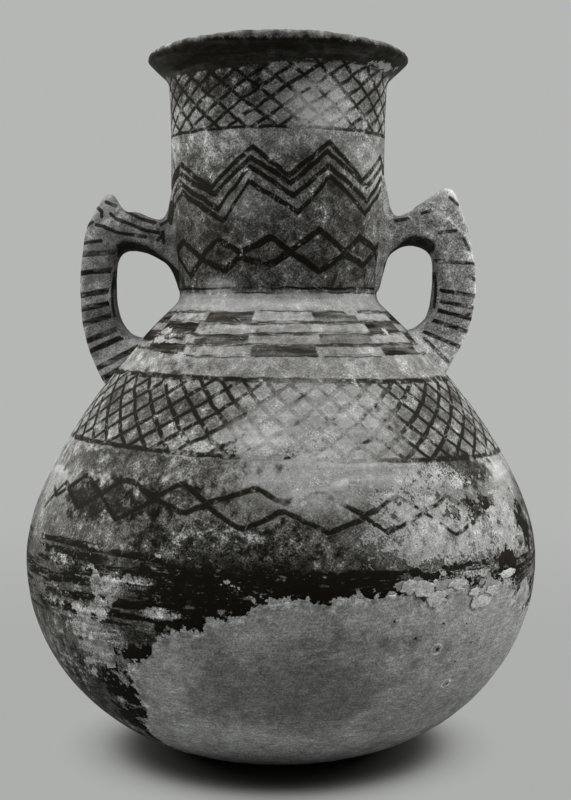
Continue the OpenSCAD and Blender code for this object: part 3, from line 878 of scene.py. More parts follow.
def mark_strap(made, strap, bars, strokes, side):
    """Marks how far each point lies from a painted bar or stroke, how deep it lies in the painted shade under the arm,
    and how rubbed it is.
    """
    middles = np.stack([strap[:, 0] + strap[:, 2], strap[:, 1] + strap[:, 3]], axis=1) / 2
    halves = np.stack([strap[:, 2] - strap[:, 0], strap[:, 3] - strap[:, 1]], axis=1) / 2
    run = np.concatenate([[0], np.cumsum(np.linalg.norm(np.diff(middles, axis=0), axis=1))])
    points = np.array([point.co for point in made.data.vertices]) / MM
    flat = points[:, [0, 2]] * (side, 1)
    nearest = ((flat[:, None, :] - middles[None]) ** 2).sum(axis=2).argmin(axis=1)
    across = ((flat - middles[nearest]) * halves[nearest]).sum(axis=1) / (halves[nearest] ** 2).sum(axis=1)
    along = run[nearest]
    bar_away = np.full(len(points), float(FAR_OFF))
    for row in bars:
        height = EYE_H + (EYE_ROW - row) * PIXEL
        slope = np.interp(height, *zip(*BAR_SLOPES))
        middle = np.interp(-height, -middles[run > ARM_LENGTH, 1], middles[run > ARM_LENGTH, 0])
        off = flat[:, 1] - height + slope * (flat[:, 0] - middle)
        bar_away = np.minimum(bar_away, abs(off) * math.cos(math.atan(slope)))
    bar_away[(along < ELBOW_LENGTH) | (across < BAR_INNER_END)] = FAR_OFF
    inner_line = abs(across - INNER_LINE) * np.linalg.norm(halves[nearest], axis=1) * INNER_LINE_THIN
    inner_line[(along < ARM_LENGTH) | (along > run[-1] - FOOT_RUBBED * 2)] = FAR_OFF
    stroke_away = inner_line
    for line in strokes:
        stroke_away = np.minimum(stroke_away, away_from(flat, at_axis(line)))
    on_horn = np.clip((across - 1.05) / 0.5, 0, 1)
    at_foot = np.clip((along - run[-1] + FOOT_RUBBED) / FOOT_RUBBED, 0, 1)
    # Painted shade: points near the underside of the arm are marked to be darkened.
    arm_underside_shade = ARM_SHADE_REACH - (across + 1) * np.linalg.norm(halves[nearest], axis=1)
    arm_underside_shade -= np.clip(along - ARM_LENGTH, 0, FAR_OFF) * 0.6 + np.clip(ARM_SHADE_START - flat[:, 0], 0, FAR_OFF) * 0.5
    mark(made, "bar", bar_away)
    mark(made, "arm_line", stroke_away)
    mark(made, "arm_underside_shade", arm_underside_shade)
    mark(made, "rubbed", np.maximum(on_horn, at_foot))


def part_off(made, name, place, out):
    """Cuts away the part of a piece beyond a plane, closes both cuts and returns the new piece."""
    other = made.copy()
    other.data = made.data.copy()
    other.name = other.data.name = name
    bpy.context.collection.objects.link(other)
    for half, keep_out in ((made, False), (other, True)):
        shape = bmesh.new()
        shape.from_mesh(half.data)
        everything = shape.verts[:] + shape.edges[:] + shape.faces[:]
        bmesh.ops.bisect_plane(shape, geom=everything, plane_co=place, plane_no=out, dist=1e-7,
                               clear_outer=not keep_out, clear_inner=keep_out)
        open_edges = [edge for edge in shape.edges if edge.is_boundary]
        bmesh.ops.triangle_fill(shape, edges=open_edges, use_beauty=True)
        for edge in open_edges:
            edge.smooth = False
        bmesh.ops.recalc_face_normals(shape, faces=shape.faces)
        shape.to_mesh(half.data)
        shape.free()
    return other


def add_handle(label, strap, horn, horn_cut, bars, strokes, side, clay):
    """One handle, parted into its strap, its horn and the luting clay at its two roots."""
    handle = smeared_handle(label + "_handle_strap", strap, horn, bars, strokes, side, clay)
    handle.data.shade_smooth()
    arm = part_off(handle, label + "_arm_luting", (side * ARM_CUT * MM, 0, 0), (-side, 0, 0))
    inner_x, inner_z, outer_x, outer_z, _ = strap[FOOT_ROW]
    down = (-side * (inner_z - outer_z), 0, -(outer_x - inner_x))
    foot = part_off(handle, label + "_foot_luting", (side * inner_x * MM, 0, inner_z * MM), down)
    (low_x, low_z), (high_x, high_z) = horn_cut
    up = (side * (low_z - high_z), 0, high_x - low_x)
    tip = part_off(handle, label + "_horn_tip", (side * low_x * MM, 0, low_z * MM), up)
    pieces = ((handle, "handle"), (arm, "arm_lute"), (foot, "foot_lute"), (tip, "horn"))
    for made, node in pieces:
        settle(made, "handle_clay", label + "_" + node)


# Finishes: tones are shares of light, nearly grey and a little warm where dark

TONES = (
    (0.0, (0.0030, 0.0028, 0.0018)), (0.01, (0.0105, 0.0099, 0.0073)), (0.1, (0.1010, 0.1000, 0.0935)),
    (0.45, (0.4450, 0.4500, 0.4400)), (1.0, (0.9800, 1.0000, 0.9850)),
)
# Tone of a surface at no wear, and how many times lighter it is where it is worn to white
DARK_TONE, WEAR_RANGE = 0.014, 36
PAINT_TONE = 0.0036
CHECK_TONE = PAINT_TONE * 2
# The pit tone is painted shade in the plaster's pits and round its flakes, and small dark specks on the handles.
CRACK_TONE, PIT_SHADE_AND_SPECK_TONE, GRIT_TONE, SMOOTH_GRIT_TONE = 0.010, 0.012, 0.018, 0.020
PLASTER_SPECK_TONE, BLOTCH_TONE = 0.030, 0.035
SCRATCH_TONE, SPECKLE_TONE, CHIP_TONE, FLECK_TONE, HANDLE_FLECK_TONE = 0.24, 0.26, 0.30, 0.34, 0.36
RELIEF_STRENGTH = 0.5
SHINE = 0.025


def new_material(name):
    material = bpy.data.materials.new(name)
    material.use_nodes = True
    return material, material.node_tree


def use_group(tree, group, links):
    """A node group's outputs by name."""
    node = add_node(tree, "ShaderNodeGroup", links, node_tree=group)
    return {socket.name: Wire(tree, socket) for socket in node.outputs}


def noise_at(tree, place, size, detail, seed=0.0, roughness=0.6):
    """Noise round a half, with features of about one size in millimetres."""
    links = {"Vector": place, "W": seed, "Scale": 1 / size, "Detail": detail, "Roughness": roughness}
    return Wire(tree, add_node(tree, "ShaderNodeTexNoise", links, noise_dimensions="4D").outputs[0])


def vector_math(tree, operation, first, second):
    node = add_node(tree, "ShaderNodeVectorMath", {0: first, 1: second}, operation=operation)
    return Wire(tree, node.outputs[0])


def jar_place_group():
    """Place in millimetres, turn in degrees from the front and height, shaken a little as a hand shakes."""
    outputs = {"Place": "Vector", "Turn": "Float", "Rise": "Float"}
    tree, wires, end = new_group("ShaderNodeTree", "Jar place", {"Shake": ("Float", 1.0)}, outputs)
    raw = add_node(tree, "ShaderNodeTexCoord").outputs["Object"]
    place = vector_math(tree, "MULTIPLY", raw, (1 / MM, 1 / MM, 1 / MM))
    shake = add_node(tree, "ShaderNodeTexNoise", {"Vector": place, "Scale": 1 / 9, "Detail": 1.0}).outputs["Color"]
    shake = vector_math(tree, "SUBTRACT", shake, (0.5, 0.5, 0.5))
    links = {0: shake, "Scale": wires["Shake"]}
    shake = add_node(tree, "ShaderNodeVectorMath", links, operation="SCALE").outputs[0]
    split = add_node(tree, "ShaderNodeSeparateXYZ", {0: vector_math(tree, "ADD", place, shake)})
    x, y = Wire(tree, split.outputs[0]), Wire(tree, split.outputs[1])
    turn = x.math("ARCTAN2", y * -1) * (180 / math.pi)
    for label, wire in (("Place", place), ("Turn", turn), ("Rise", Wire(tree, split.outputs[2]))):
        tree.links.new(wire.socket, end.inputs[label])
    return tree


# Slants of the fine scratches, in degrees, and how much the grain is hatched with them
SCRATCH_ANGLES = (28, -36, 68)
HATCH = 0.15


def clay_grain_group():
    """Mottling at four sizes, streaks and strokes round the jar, light flecks, fine scratches and dark grit."""
    outputs = ("Broad", "Middle", "Fine", "Grain", "Streaks", "Strokes", "Flecks", "Scratches", "Grit")
    tree, wires, end = new_group(
        "ShaderNodeTree", "Clay grain", {"Place": ("Vector", None)}, {label: "Float" for label in outputs}
    )
    place = wires["Place"]
    fine, grain = noise_at(tree, place, 4.6, 4.0, 2.0, 0.55), noise_at(tree, place, 0.95, 2.0, 3.0)
    drawn_out = vector_math(tree, "MULTIPLY", place, (0.09, 0.09, 1.0))
    middle = noise_at(tree, place, 15, 5.0, 1.0)
    lines = []
    for seed, angle in enumerate(SCRATCH_ANGLES):
        links = {"Vector": place, "Angle": math.radians(angle)}
        turned = Wire(tree, add_node(tree, "ShaderNodeVectorRotate", links, rotation_type="Y_AXIS").outputs[0])
        drawn = vector_math(tree, "MULTIPLY", turned, (0.07, 0.2, 1.0))
        lines.append(noise_at(tree, drawn, 0.9, 1.0, 7.0 + seed))
    hatch = sum((line - 0.5) * HATCH for line in lines)
    scratches = topmost([line.rise(0.66, 0.74) for line in lines])
    made = {
        "Broad": noise_at(tree, place, 48, 4.0),
        "Middle": middle,
        "Fine": fine,
        "Grain": (grain - 0.5) * 0.9 + hatch + 0.5,
        "Streaks": noise_at(tree, drawn_out, 3.4, 5.0, 4.0),
        "Strokes": noise_at(tree, vector_math(tree, "MULTIPLY", place, (0.16, 0.16, 1.0)), 1.1, 2.0, 9.0),
        "Flecks": noise_at(tree, place, 1.6, 2.0, 5.0).rise(0.69, 0.75) * middle.rise(0.44, 0.60),
        "Scratches": scratches * middle.rise(0.46, 0.58),
        "Grit": noise_at(tree, place, 1.2, 1.0, 6.0).rise(0.31, 0.25),
    }
    for label, wire in made.items():
        tree.links.new(wire.socket, end.inputs[label])
    return tree


def brush_line_group():
    """A brush stroke at a distance from its middle, uneven in width and faded where the surface is worn."""
    starts = {"Offset": 0.0, "Half width": 1.0, "Fine": 0.5, "Wear": 0.0, "Ghost": 0.0}
    inputs = {label: ("Float", start) for label, start in starts.items()}
    tree, wires, end = new_group("ShaderNodeTree", "Brush line", inputs, {"Mask": "Float"})
    half = wires["Half width"] * (wires["Fine"] * 1.3 + 0.4)
    body = abs(wires["Offset"]).rise(half + 0.35, half - 0.45)
    left = (wires["Wear"] + (wires["Fine"] - 0.5) * 0.8).rise(1.04, 0.58).most(wires["Ghost"])
    tree.links.new((body * left).socket, end.inputs[0])
    return tree


def ragged_patch_group():
    """An oval patch on the wall with a ragged edge."""
    labels = ("Turn", "Rise", "Middle turn", "Middle rise", "Half turn", "Half rise", "Ragged", "Depth", "Soft")
    inputs = {label: ("Float", 0.5) for label in labels}
    tree, wires, end = new_group("ShaderNodeTree", "Ragged patch", inputs, {"Mask": "Float"})
    aside = (wires["Turn"] - wires["Middle turn"]) / wires["Half turn"]
    up = (wires["Rise"] - wires["Middle rise"]) / wires["Half rise"]
    away = (aside * aside + up * up).math("SQRT") + (wires["Ragged"] - 0.5) * wires["Depth"]
    tree.links.new(away.rise(wires["Soft"] + 1, 1 - wires["Soft"]).socket, end.inputs[0])
    return tree


def painted_net_group():
    """Falling and climbing strokes that cross between a low and a high line."""
    labels = ["Turn", "Rise", "Fine", "Wear", "Ghost", "Middle", "Half width", "Low", "High"]
    labels += [way + part for way in ("Fall", "Climb") for part in (" period", " start", " slope", " degree")]
    inputs = {label: ("Float", 0.5) for label in labels}
    tree, wires, end = new_group("ShaderNodeTree", "Painted net", inputs, {"Mask": "Float"})

    def stroke(offset, half):
        links = {"Offset": offset, "Half width": half}
        links.update({label: wires[label] for label in ("Fine", "Wear", "Ghost")})
        return use_group(tree, BRUSH_LINE, links)["Mask"]

    above_low, below_high = wires["Rise"] - wires["Low"], wires["High"] - wires["Rise"]
    up = wires["Rise"] - wires["Middle"]
    strokes = []
    for way, side in (("Fall", 1), ("Climb", -1)):
        line = wires["Turn"] + wires[way + " slope"] * up * side - wires[way + " start"]
        away = line.math("PINGPONG", wires[way + " period"] / 2) * wires[way + " degree"]
        strokes.append(stroke(away, wires["Half width"]))
    net = topmost(strokes) * above_low.rise(-0.4, 0.4) * below_high.rise(-0.4, 0.4)
    edges = stroke(above_low, wires["Half width"] * 0.9).most(stroke(below_high, wires["Half width"]))
    tree.links.new(net.most(edges).socket, end.inputs[0])
    return tree


JAR_PLACE = jar_place_group()
CLAY_GRAIN = clay_grain_group()
BRUSH_LINE = brush_line_group()
RAGGED_PATCH = ragged_patch_group()
PAINTED_NET = painted_net_group()


def grained_material(name, shake):
    """A material, and the place and the grain that its finish reads."""
    material, tree = new_material(name)
    here = use_group(tree, JAR_PLACE, {"Shake": shake})
    return material, tree, here, use_group(tree, CLAY_GRAIN, {"Place": here["Place"]})


def tone_colour(tree, tone):
    """The colour of a tone."""
    node = add_node(tree, "ShaderNodeValToRGB", {0: tone})
    ramp = node.color_ramp
    for place, _ in TONES[1:-1]:
        ramp.elements.new(place)
    for stop, (place, colour) in zip(ramp.elements, TONES):
        stop.position, stop.color = place, (*colour, 1)
    return Wire(tree, node.outputs[0])


def worn_tone(wear):
    """The tone of a surface from how far it is worn, from 0 to 1."""
    node = add_node(wear.tree, "ShaderNodeMath", {0: WEAR_RANGE, 1: wear}, operation="POWER")
    return Wire(wear.tree, node.outputs[0]) * DARK_TONE


def curve_of(value, stops):
    """A value read off a curve of straight runs between stops."""
    places, heights = zip(*stops)
    low, high = min(heights), max(heights)
    share = (value - places[0]) / (places[-1] - places[0])
    node = add_node(value.tree, "ShaderNodeFloatCurve", {"Value": share})
    curve = node.mapping.curves[0]
    shares = [((p - places[0]) / (places[-1] - places[0]), (h - low) / (high - low)) for p, h in stops]
    curve.points[0].location, curve.points[1].location = shares[0], shares[-1]
    for stop in shares[1:-1]:
        curve.points.new(*stop)
    for point in curve.points:
        point.handle_type = "VECTOR"
    node.mapping.update()
    return Wire(value.tree, node.outputs[0]) * (high - low) + low


def attribute(tree, name):
    return Wire(tree, add_node(tree, "ShaderNodeAttribute", attribute_name=name).outputs["Fac"])


def inner_face(tree):
    """1 on the inner face of a wall."""
    return attribute(tree, "inside").rise(0.3, 0.7)


def swing(grain, **weights):
    """Parts of the grain as swings round nought, each with its weight, added up."""
    return sum((grain[label] - 0.5) * weight for label, weight in weights.items())


def finish(tree, tone, roughness, height, depth):
    """Joins a tone, a roughness and a relief of a depth in millimetres to a material's shader."""
    shader = tree.nodes["Principled BSDF"]
    tree.links.new(tone_colour(tree, tone).socket, shader.inputs["Base Color"])
    tree.links.new(roughness.socket, shader.inputs["Roughness"])
    links = {"Height": height, "Strength": RELIEF_STRENGTH, "Distance": depth * MM}
    tree.links.new(add_node(tree, "ShaderNodeBump", links).outputs[0], shader.inputs["Normal"])
    shader.inputs["Specular IOR Level"].default_value = SHINE


# The painted walls: wear by height, patches as pixel, half sizes in pixels and change of wear
WEAR_BY_HEIGHT = (
    (0, 0.44), (60, 0.44), (100, 0.42), (130, 0.33), (138, 0.36), (150, 0.44), (163, 0.55), (176, 0.73),
    (188, 0.70), (200, 0.64), (227, 0.65), (232, 0.65), (240, 0.72), (266, 0.77), (270, 0.80), (276, 0.79),
    (278, 0.38), (292, 0.355), (312, 0.34), (335, 0.42), (360, 0.58), (373, 0.63), (425, 0.58),
)
WORN_PATCHES = (
    ((322, 105), (38, 26), 0.20), ((210, 80), (35, 25), -0.20), ((368, 165), (15, 22), 0.16),
    ((222, 285), (15, 8), 0.36), ((250, 205), (30, 14), 0.10), ((190, 150), (18, 14), -0.10),
    ((350, 262), (25, 20), -0.05), ((178, 170), (9, 50), 0.09), ((381, 200), (9, 50), 0.14),
    ((325, 420), (80, 38), 0.13), ((250, 440), (40, 16), 0.16), ((300, 470), (90, 14), 0.06),
    ((320, 500), (44, 14), 0.14), ((155, 410), (60, 30), -0.12), ((440, 420), (35, 32), -0.14),
    ((120, 465), (85, 14), -0.26), ((100, 500), (34, 20), -0.45), ((165, 498), (40, 18), -0.31),
    ((125, 362), (22, 10), 0.06), ((464, 472), (27, 14), -0.45), ((430, 480), (46, 12), 0.10),
    ((278, 540), (80, 12), 0.02), ((330, 550), (40, 10), 0.04), ((130, 540), (40, 10), 0.10),
    ((92, 640), (18, 22), 0.04), ((60, 575), (14, 16), 0.05), ((45, 520), (14, 70), 0.14),
    ((452, 530), (56, 34), 0.22), ((205, 74), (40, 12), -0.10), ((238, 205), (26, 9), 0.10),
    ((275, 140), (80, 9), 0.05), ((165, 335), (34, 22), -0.12), ((130, 430), (70, 50), -0.05),
    ((325, 104), (30, 22), 0.05), ((170, 545), (40, 12), -0.06), ((95, 690), (20, 30), -0.22),
    ((130, 634), (17, 13), -0.16), ((503, 482), (9, 30), 0.17),
)


def pixel_patch(pixel, half):
    """Middle and half sizes of a patch on the wall, in degrees and millimetres."""
    (column, row), (half_columns, half_rows) = pixel, half
    turn, height = on_wall(column, row)
    left, right = on_wall(column - half_columns, row)[0], on_wall(column + half_columns, row)[0]
    top, bottom = on_wall(column, row - half_rows)[1], on_wall(column, row + half_rows)[1]
    half_turn, half_rise = (right - left) / 2, (top - bottom) / 2
    return {"Middle turn": turn, "Middle rise": height, "Half turn": half_turn, "Half rise": half_rise}


# How soft and how ragged the edges of patches are
SOFT_EDGE = {"Soft": 0.35, "Depth": 4.0}
CRISP_EDGE = {"Soft": 0.10, "Depth": 9.0}
CRUMBLED_EDGE = {"Soft": 0.30, "Depth": 6.0}
RING_EDGE = {"Soft": 0.12, "Depth": 0.0}


def patch_of(tree, pixel, half, here, ragged, edge):
    """One patch."""
    links = {"Turn": here["Turn"], "Rise": here["Rise"], "Ragged": ragged, **edge, **pixel_patch(pixel, half)}
    return use_group(tree, RAGGED_PATCH, links)["Mask"]


def patches_of(tree, patches, here, ragged, edge):
    """The changes that a list of patches makes, added up."""
    return sum(patch_of(tree, pixel, half, here, ragged, edge) * change for pixel, half, change in patches)


# Corners of the painted zigzags and lozenge chains on the front, in pixels
NECK_ZIGZAG = (
    ((183, 164), (212, 188), (253, 146), (289, 176), (330, 142), (364, 181), (382, 157)),
    ((181, 173), (216, 194), (251, 157), (291, 183), (328, 152), (368, 188), (383, 166)),
    ((182, 183), (220, 209), (250, 166), (294, 196), (329, 166), (368, 202), (383, 177)),
    ((184, 192), (225, 221), (249, 181), (299, 212), (331, 176), (366, 214), (383, 188)),
)
NECK_CHAIN = (
    (
        (185, 241), (203, 258), (219, 239), (241, 253), (272, 237), (291, 252), (320, 230), (346, 252),
        (360, 237), (376, 250),
    ),
    (
        (192, 277), (203, 259), (226, 271), (241, 256), (267, 266), (291, 252), (320, 271), (346, 254),
        (364, 266), (376, 252),
    ),
)
BODY_CHAIN = (
    (
        (55, 496), (87, 475), (101, 494), (127, 479), (156, 497), (184, 483), (208, 504), (258, 488),
        (284, 503), (322, 492), (366, 516), (397, 496), (426, 512), (447, 496), (478, 516),
    ),
    (
        (66, 481), (78, 507), (101, 494), (117, 520), (156, 499), (183, 514), (206, 505), (242, 530),
        (285, 511), (330, 533), (366, 518), (387, 532), (426, 513), (457, 535), (480, 516),
    ),
)
# Half widths of painted lines, how much steep ones thin them, and how much of a worn stroke is still seen
ZIGZAG_HALF, NECK_CHAIN_HALF, BODY_CHAIN_HALF, DAB_HALF = 1.36, 1.6, 1.3, 2.1
BAR_HALF, ARM_LINE_HALF = 1.7, 1.15
NECK_LINE_LAY, BODY_LINE_LAY = 0.72, 0.82
STROKE_GHOST = 0.06
# Lines at the foot of the neck: height, half width and the streaks that break them
FOOT_LINES = ((279.2, 0.8, (0.40, 0.52)), (276.6, 0.6, (0.47, 0.57)))
# Nets: height of their middle, slant of the wall, width of a degree, half width of a stroke, how much is seen
# where worn, heights of the two edges and how far each dips to the right, and the spacing, first turn and slope
# of the strokes that fall and that climb to the right
NECK_NET = {
    "middle": 394, "lay": 1.0, "degree": 1.15, "half": 1.12, "ghost": 0.34,
    "edges": (372.3, 416), "tilts": (0, 0),
    "Fall": (360 / 24, 6.0, 1.05), "Climb": (360 / 28, 1.7, 1.3),
}
BODY_NET = {
    "middle": 207, "lay": 0.74, "degree": 2.18, "half": 1.45, "ghost": 0.30,
    "edges": (187.2, 227.7), "tilts": (5, 2.2),
    "Fall": (360 / 51, -0.8, 0.5), "Climb": (360 / 42, 5.7, 0.8),
}
# The highest wear, and the stretch that is speckled most
MOST_WEAR = 0.93
SPECKLED = ((225, 546), (92, 26))
# Where the paint is rubbed off, where a white crust lies under what is left of it, where black paint pooled, and
# where the surface is chipped white or clouded with lime: pixel, half sizes in pixels and strength
RUBBED_PAINT = (
    ((318, 425), (92, 46), 0.26), ((325, 104), (32, 26), 0.10), ((305, 500), (26, 16), 0.15),
    ((205, 180), (20, 12), 0.06), ((298, 125), (9, 4), 0.6), ((262, 264), (14, 6), 0.35),
    ((218, 78), (18, 14), 0.16), ((340, 335), (60, 10), 0.05), ((355, 498), (40, 14), 0.12),
    ((508, 500), (16, 34), 0.9), ((44, 485), (14, 44), 0.9), ((450, 508), (58, 28), 0.14),
    ((400, 512), (24, 16), 0.06), ((312, 524), (22, 11), 0.18), ((128, 483), (18, 9), -0.32),
)
RUBBED_CHECKS = (
    ((286, 327), (34, 6), 0.8), ((345, 341), (30, 7), 0.5),
)
CRUST = (
    ((448, 534), (56, 30), 0.9), ((502, 522), (15, 38), 0.9), ((418, 506), (34, 14), 0.75),
    ((392, 498), (20, 8), 0.5), ((320, 437), (24, 10), 0.45), ((355, 410), (18, 10), 0.45),
    ((300, 445), (20, 8), 0.45), ((265, 425), (16, 9), 0.4), ((428, 474), (24, 12), 0.62),
    ((330, 480), (26, 10), 0.48), ((405, 484), (18, 9), 0.5), ((474, 500), (16, 13), -1.6),
    ((487, 526), (5, 12), -0.9), ((462, 571), (46, 8), 0.5), ((345, 375), (14, 6), 0.35),
    ((246, 450), (30, 8), 0.68), ((212, 446), (18, 7), 0.55), ((282, 451), (20, 6), 0.55),
    ((458, 482), (14, 10), 0.55),
)
BLOTS = (
    ((176, 625), (24, 7), 0.9), ((130, 653), (22, 10), 1.0), ((126, 690), (17, 24), 1.0),
    ((138, 722), (10, 18), 1.0), ((507, 562), (10, 9), 1.0), ((523, 530), (5, 26), 0.9),
    ((472, 506), (17, 13), 0.58), ((498, 579), (16, 5), 0.9), ((432, 575), (20, 4.5), 1.0),
    ((462, 565), (24, 2.6), 0.85), ((470, 581), (9, 3), 0.8),
)
CHIPS = (
    ((161, 339), (6, 3), 0.9), ((181, 354), (6, 4), 1.0), ((168, 331), (5, 3), 0.8),
    ((172, 342), (4, 2), 0.8), ((386, 332), (3, 5), 0.9), ((352, 312), (6, 3), 0.9),
    ((236, 590), (9, 5), 0.9), ((160, 557), (6, 3), 1.0), ((228, 583), (6, 3), 0.5),
    ((300, 216), (3, 3), 0.8), ((366, 190), (4, 3), 0.6), ((455, 584), (15, 6), 0.9),
    ((489, 589), (12, 9), 0.9), ((480, 574), (18, 4), 0.5), ((521, 592), (7, 12), 0.8),
    ((408, 585), (10, 6), 0.8),
)
LIMED = (
    ((108, 584), (22, 14), 1.05), ((88, 632), (17, 29), 1.1), ((101, 607), (12, 12), 0.9),
    ((160, 615), (20, 5), 0.7), ((140, 581), (16, 6), 0.55), ((66, 560), (20, 9), 0.6),
    ((170, 600), (16, 4), 0.5), ((104, 655), (12, 9), 0.9), ((98, 545), (18, 5), 0.6),
    ((56, 600), (12, 14), 0.6), ((75, 668), (10, 14), 0.6), ((118, 640), (12, 8), 0.8),
)
# Single brush strokes at the left end of the low band, and a hairline crack, in pixels from left to right
BAND_STROKES = (
    ((40, 536), (60, 540), (80, 545), (104, 550)), ((43, 548), (60, 551), (76, 555), (108, 562)),
    ((58, 559), (75, 565), (90, 569), (106, 573)), ((46, 577), (60, 579), (75, 581), (92, 585)),
    ((44, 590), (60, 593), (75, 597), (92, 601)), ((40, 600), (55, 604), (70, 609), (86, 613)),
    ((108, 604), (140, 605), (170, 604), (200, 602)), ((108, 612), (130, 617), (160, 619), (190, 617)),
    ((108, 552), (140, 557), (172, 562)), ((118, 572), (140, 577), (165, 580)),
)
CRACK = ((100, 602), (112, 619), (125, 630), (132, 645), (145, 655))
# The dark band: height of its top, its dip to the right and its foot, and where it is solid and smudged upwards
BAND_TOP, BAND_TILT, BAND_LOW = 132.5, 6.0, 92
SOLID_BAND = ((285, 585), (118, 40))
SMUDGED_TOP = ((250, 552), (85, 26))
# Checks: height of the top, height and number of rows, number round the jar, first turn, dark share and soft edge
CHECK_TOP, CHECK_ROW, CHECK_ROWS = 265.5, 6.3, 4
CHECKS_ROUND, CHECK_START, CHECK_SHARE, CHECK_SOFT = 7, -23.7, 0.46, 0.012
# How far the low rows climb at the left, the turns over which they do, and one check that kept its paint
CHECK_CLIMB, CLIMB_FRONT, CLIMB_BACK = 4.2, (-32, -70), (-150, -100)
DARK_CHECK = ((156, 336), (22, 5))


def carry_round(pixels):
    """Corners of a zigzag as turn and height, carried on round the back in the same manner."""
    front = [on_wall(*pixel) for pixel in pixels]
    span = front[-1][0] - front[0][0]
    more = round((360 - span) * (len(front) - 1) / span) - 1
    more += (len(front) + more) % 2
    usual = [np.mean([height for _, height in front[start::2]]) for start in (0, 1)]
    step = (360 - span) / (more + 1)
    behind = [(front[-1][0] + step * i, usual[(len(front) - 1 + i) % 2]) for i in range(1, more + 1)]
    corners = sorted(((turn + 180) % 360 - 180, height) for turn, height in front + behind)
    (last_turn, last), (first_turn, first) = corners[-1], corners[0]
    end = last + (first - last) * (180 - last_turn) / (first_turn + 360 - last_turn)
    return [(-180, end)] + corners + [(180, end)]


def net_links(net):
    """A net's measures by the names of its group's inputs."""
    low, high = net["edges"]
    links = {"Middle": net["middle"], "Half width": net["half"], "Low": low, "High": high}
    for way in ("Fall", "Climb"):
        period, start, slope = net[way]
        across = math.hypot(1, net["degree"] * slope * net["lay"])
        links.update({way + " period": period, way + " start": start, way + " slope": slope,
                      way + " degree": net["degree"] / across})
    return links


def sideways(turn):
    """How far to the right a turn looks, from -1 to 1."""
    return (turn * (math.pi / 180)).math("SINE")


def painted_lines(tree, here, grain, rubbed, crust):
    """The nets, zigzags and lozenge chains, the lines at the neck's foot and the band's single strokes."""
    turn, rise = here["Turn"], here["Rise"]
    middle, fine, streaks = grain["Middle"], grain["Fine"], grain["Streaks"]

    def stroke(offset, half):
        links = {"Offset": offset, "Half width": half, "Fine": fine, "Wear": rubbed, "Ghost": STROKE_GHOST}
        return use_group(tree, BRUSH_LINE, links)["Mask"]

    def net(measures):
        sway = swing(grain, Broad=0.3, Middle=0.25) * measures["Fall"][0]
        low, high = [sideways(turn) * -tilt + edge for edge, tilt in zip(measures["edges"], measures["tilts"])]
        links = {"Turn": turn + sway, "Rise": rise, "Fine": fine, "Wear": rubbed, **net_links(measures)}
        links.update({"Low": low, "High": high, "Ghost": middle.rise(0.34, 0.54) * measures["ghost"]})
        return use_group(tree, PAINTED_NET, links)["Mask"]

    def dab(pixels):
        corners = [on_wall(*pixel) for pixel in pixels]
        start, end = corners[0][0], corners[-1][0]
        broken = (grain["Strokes"] * 0.5 + fine * 0.5).rise(0.35, 0.43)
        line = stroke(rise - curve_of(turn, corners) + swing(grain, Streaks=5), DAB_HALF)
        return line * turn.rise(start - 1, start + 2) * turn.rise(end + 2, end - 3) * broken

    paint = [net(NECK_NET), net(BODY_NET)]
    runs = (
        (NECK_ZIGZAG, NECK_LINE_LAY, ZIGZAG_HALF),
        (NECK_CHAIN, NECK_LINE_LAY, NECK_CHAIN_HALF),
        (BODY_CHAIN, BODY_LINE_LAY, crust * -0.3 + BODY_CHAIN_HALF),
    )
    for lines, lay, half in runs:
        paint += [stroke((rise - curve_of(turn, carry_round(pixels))) * lay, half) for pixels in lines]
    paint += [stroke(rise - height, half) * streaks.rise(*gaps) for height, half, gaps in FOOT_LINES]
    paint += [dab(pixels) for pixels in BAND_STROKES]
    return topmost(paint)


def painted_checks(tree, here, grain, ragged, wear):
    """Rows of checks on the shoulder and the lines between them, which climb towards the left handle."""
    turn, rise, streaks = here["Turn"], here["Rise"], grain["Streaks"]
    low_rows = (CHECK_TOP - rise).rise(0.0, CHECK_ROW * CHECK_ROWS)
    climb = turn.rise(*CLIMB_FRONT) * turn.rise(*CLIMB_BACK) * low_rows * CHECK_CLIMB
    down = (climb - rise + CHECK_TOP) / CHECK_ROW
    across = (turn - CHECK_START) * (CHECKS_ROUND / 360) + down.math("FLOOR") * 0.5 + 0.5
    block = abs(across.math("WRAP", 1.0, 0.0) - 0.5)
    block = block.rise(CHECK_SHARE / 2 + CHECK_SOFT, CHECK_SHARE / 2 - CHECK_SOFT)
    block = block * (1 - patches_of(tree, RUBBED_CHECKS, here, ragged, SOFT_EDGE)).most(0.0)
    block = block.most(patch_of(tree, *DARK_CHECK, here, ragged, SOFT_EDGE))
    thick = abs(turn).rise(28, 52) * abs(turn).rise(150, 100) * 0.16 + 0.44
    checks = (block * (streaks.rise(0.66, 0.38) * 0.5 + thick)).least(1.0)
    lines = abs((down + 0.5).math("FRACT") - 0.5).rise(0.27, 0.10) * streaks.rise(0.43, 0.55)
    lines = lines * (grain["Strokes"].rise(0.34, 0.50) * 0.6 + 0.3)
    in_rows = down.rise(-0.2, 0.0) * down.rise(CHECK_ROWS + 0.2, CHECK_ROWS)
    return checks.most(lines) * in_rows * wear.rise(1.12, 0.9)


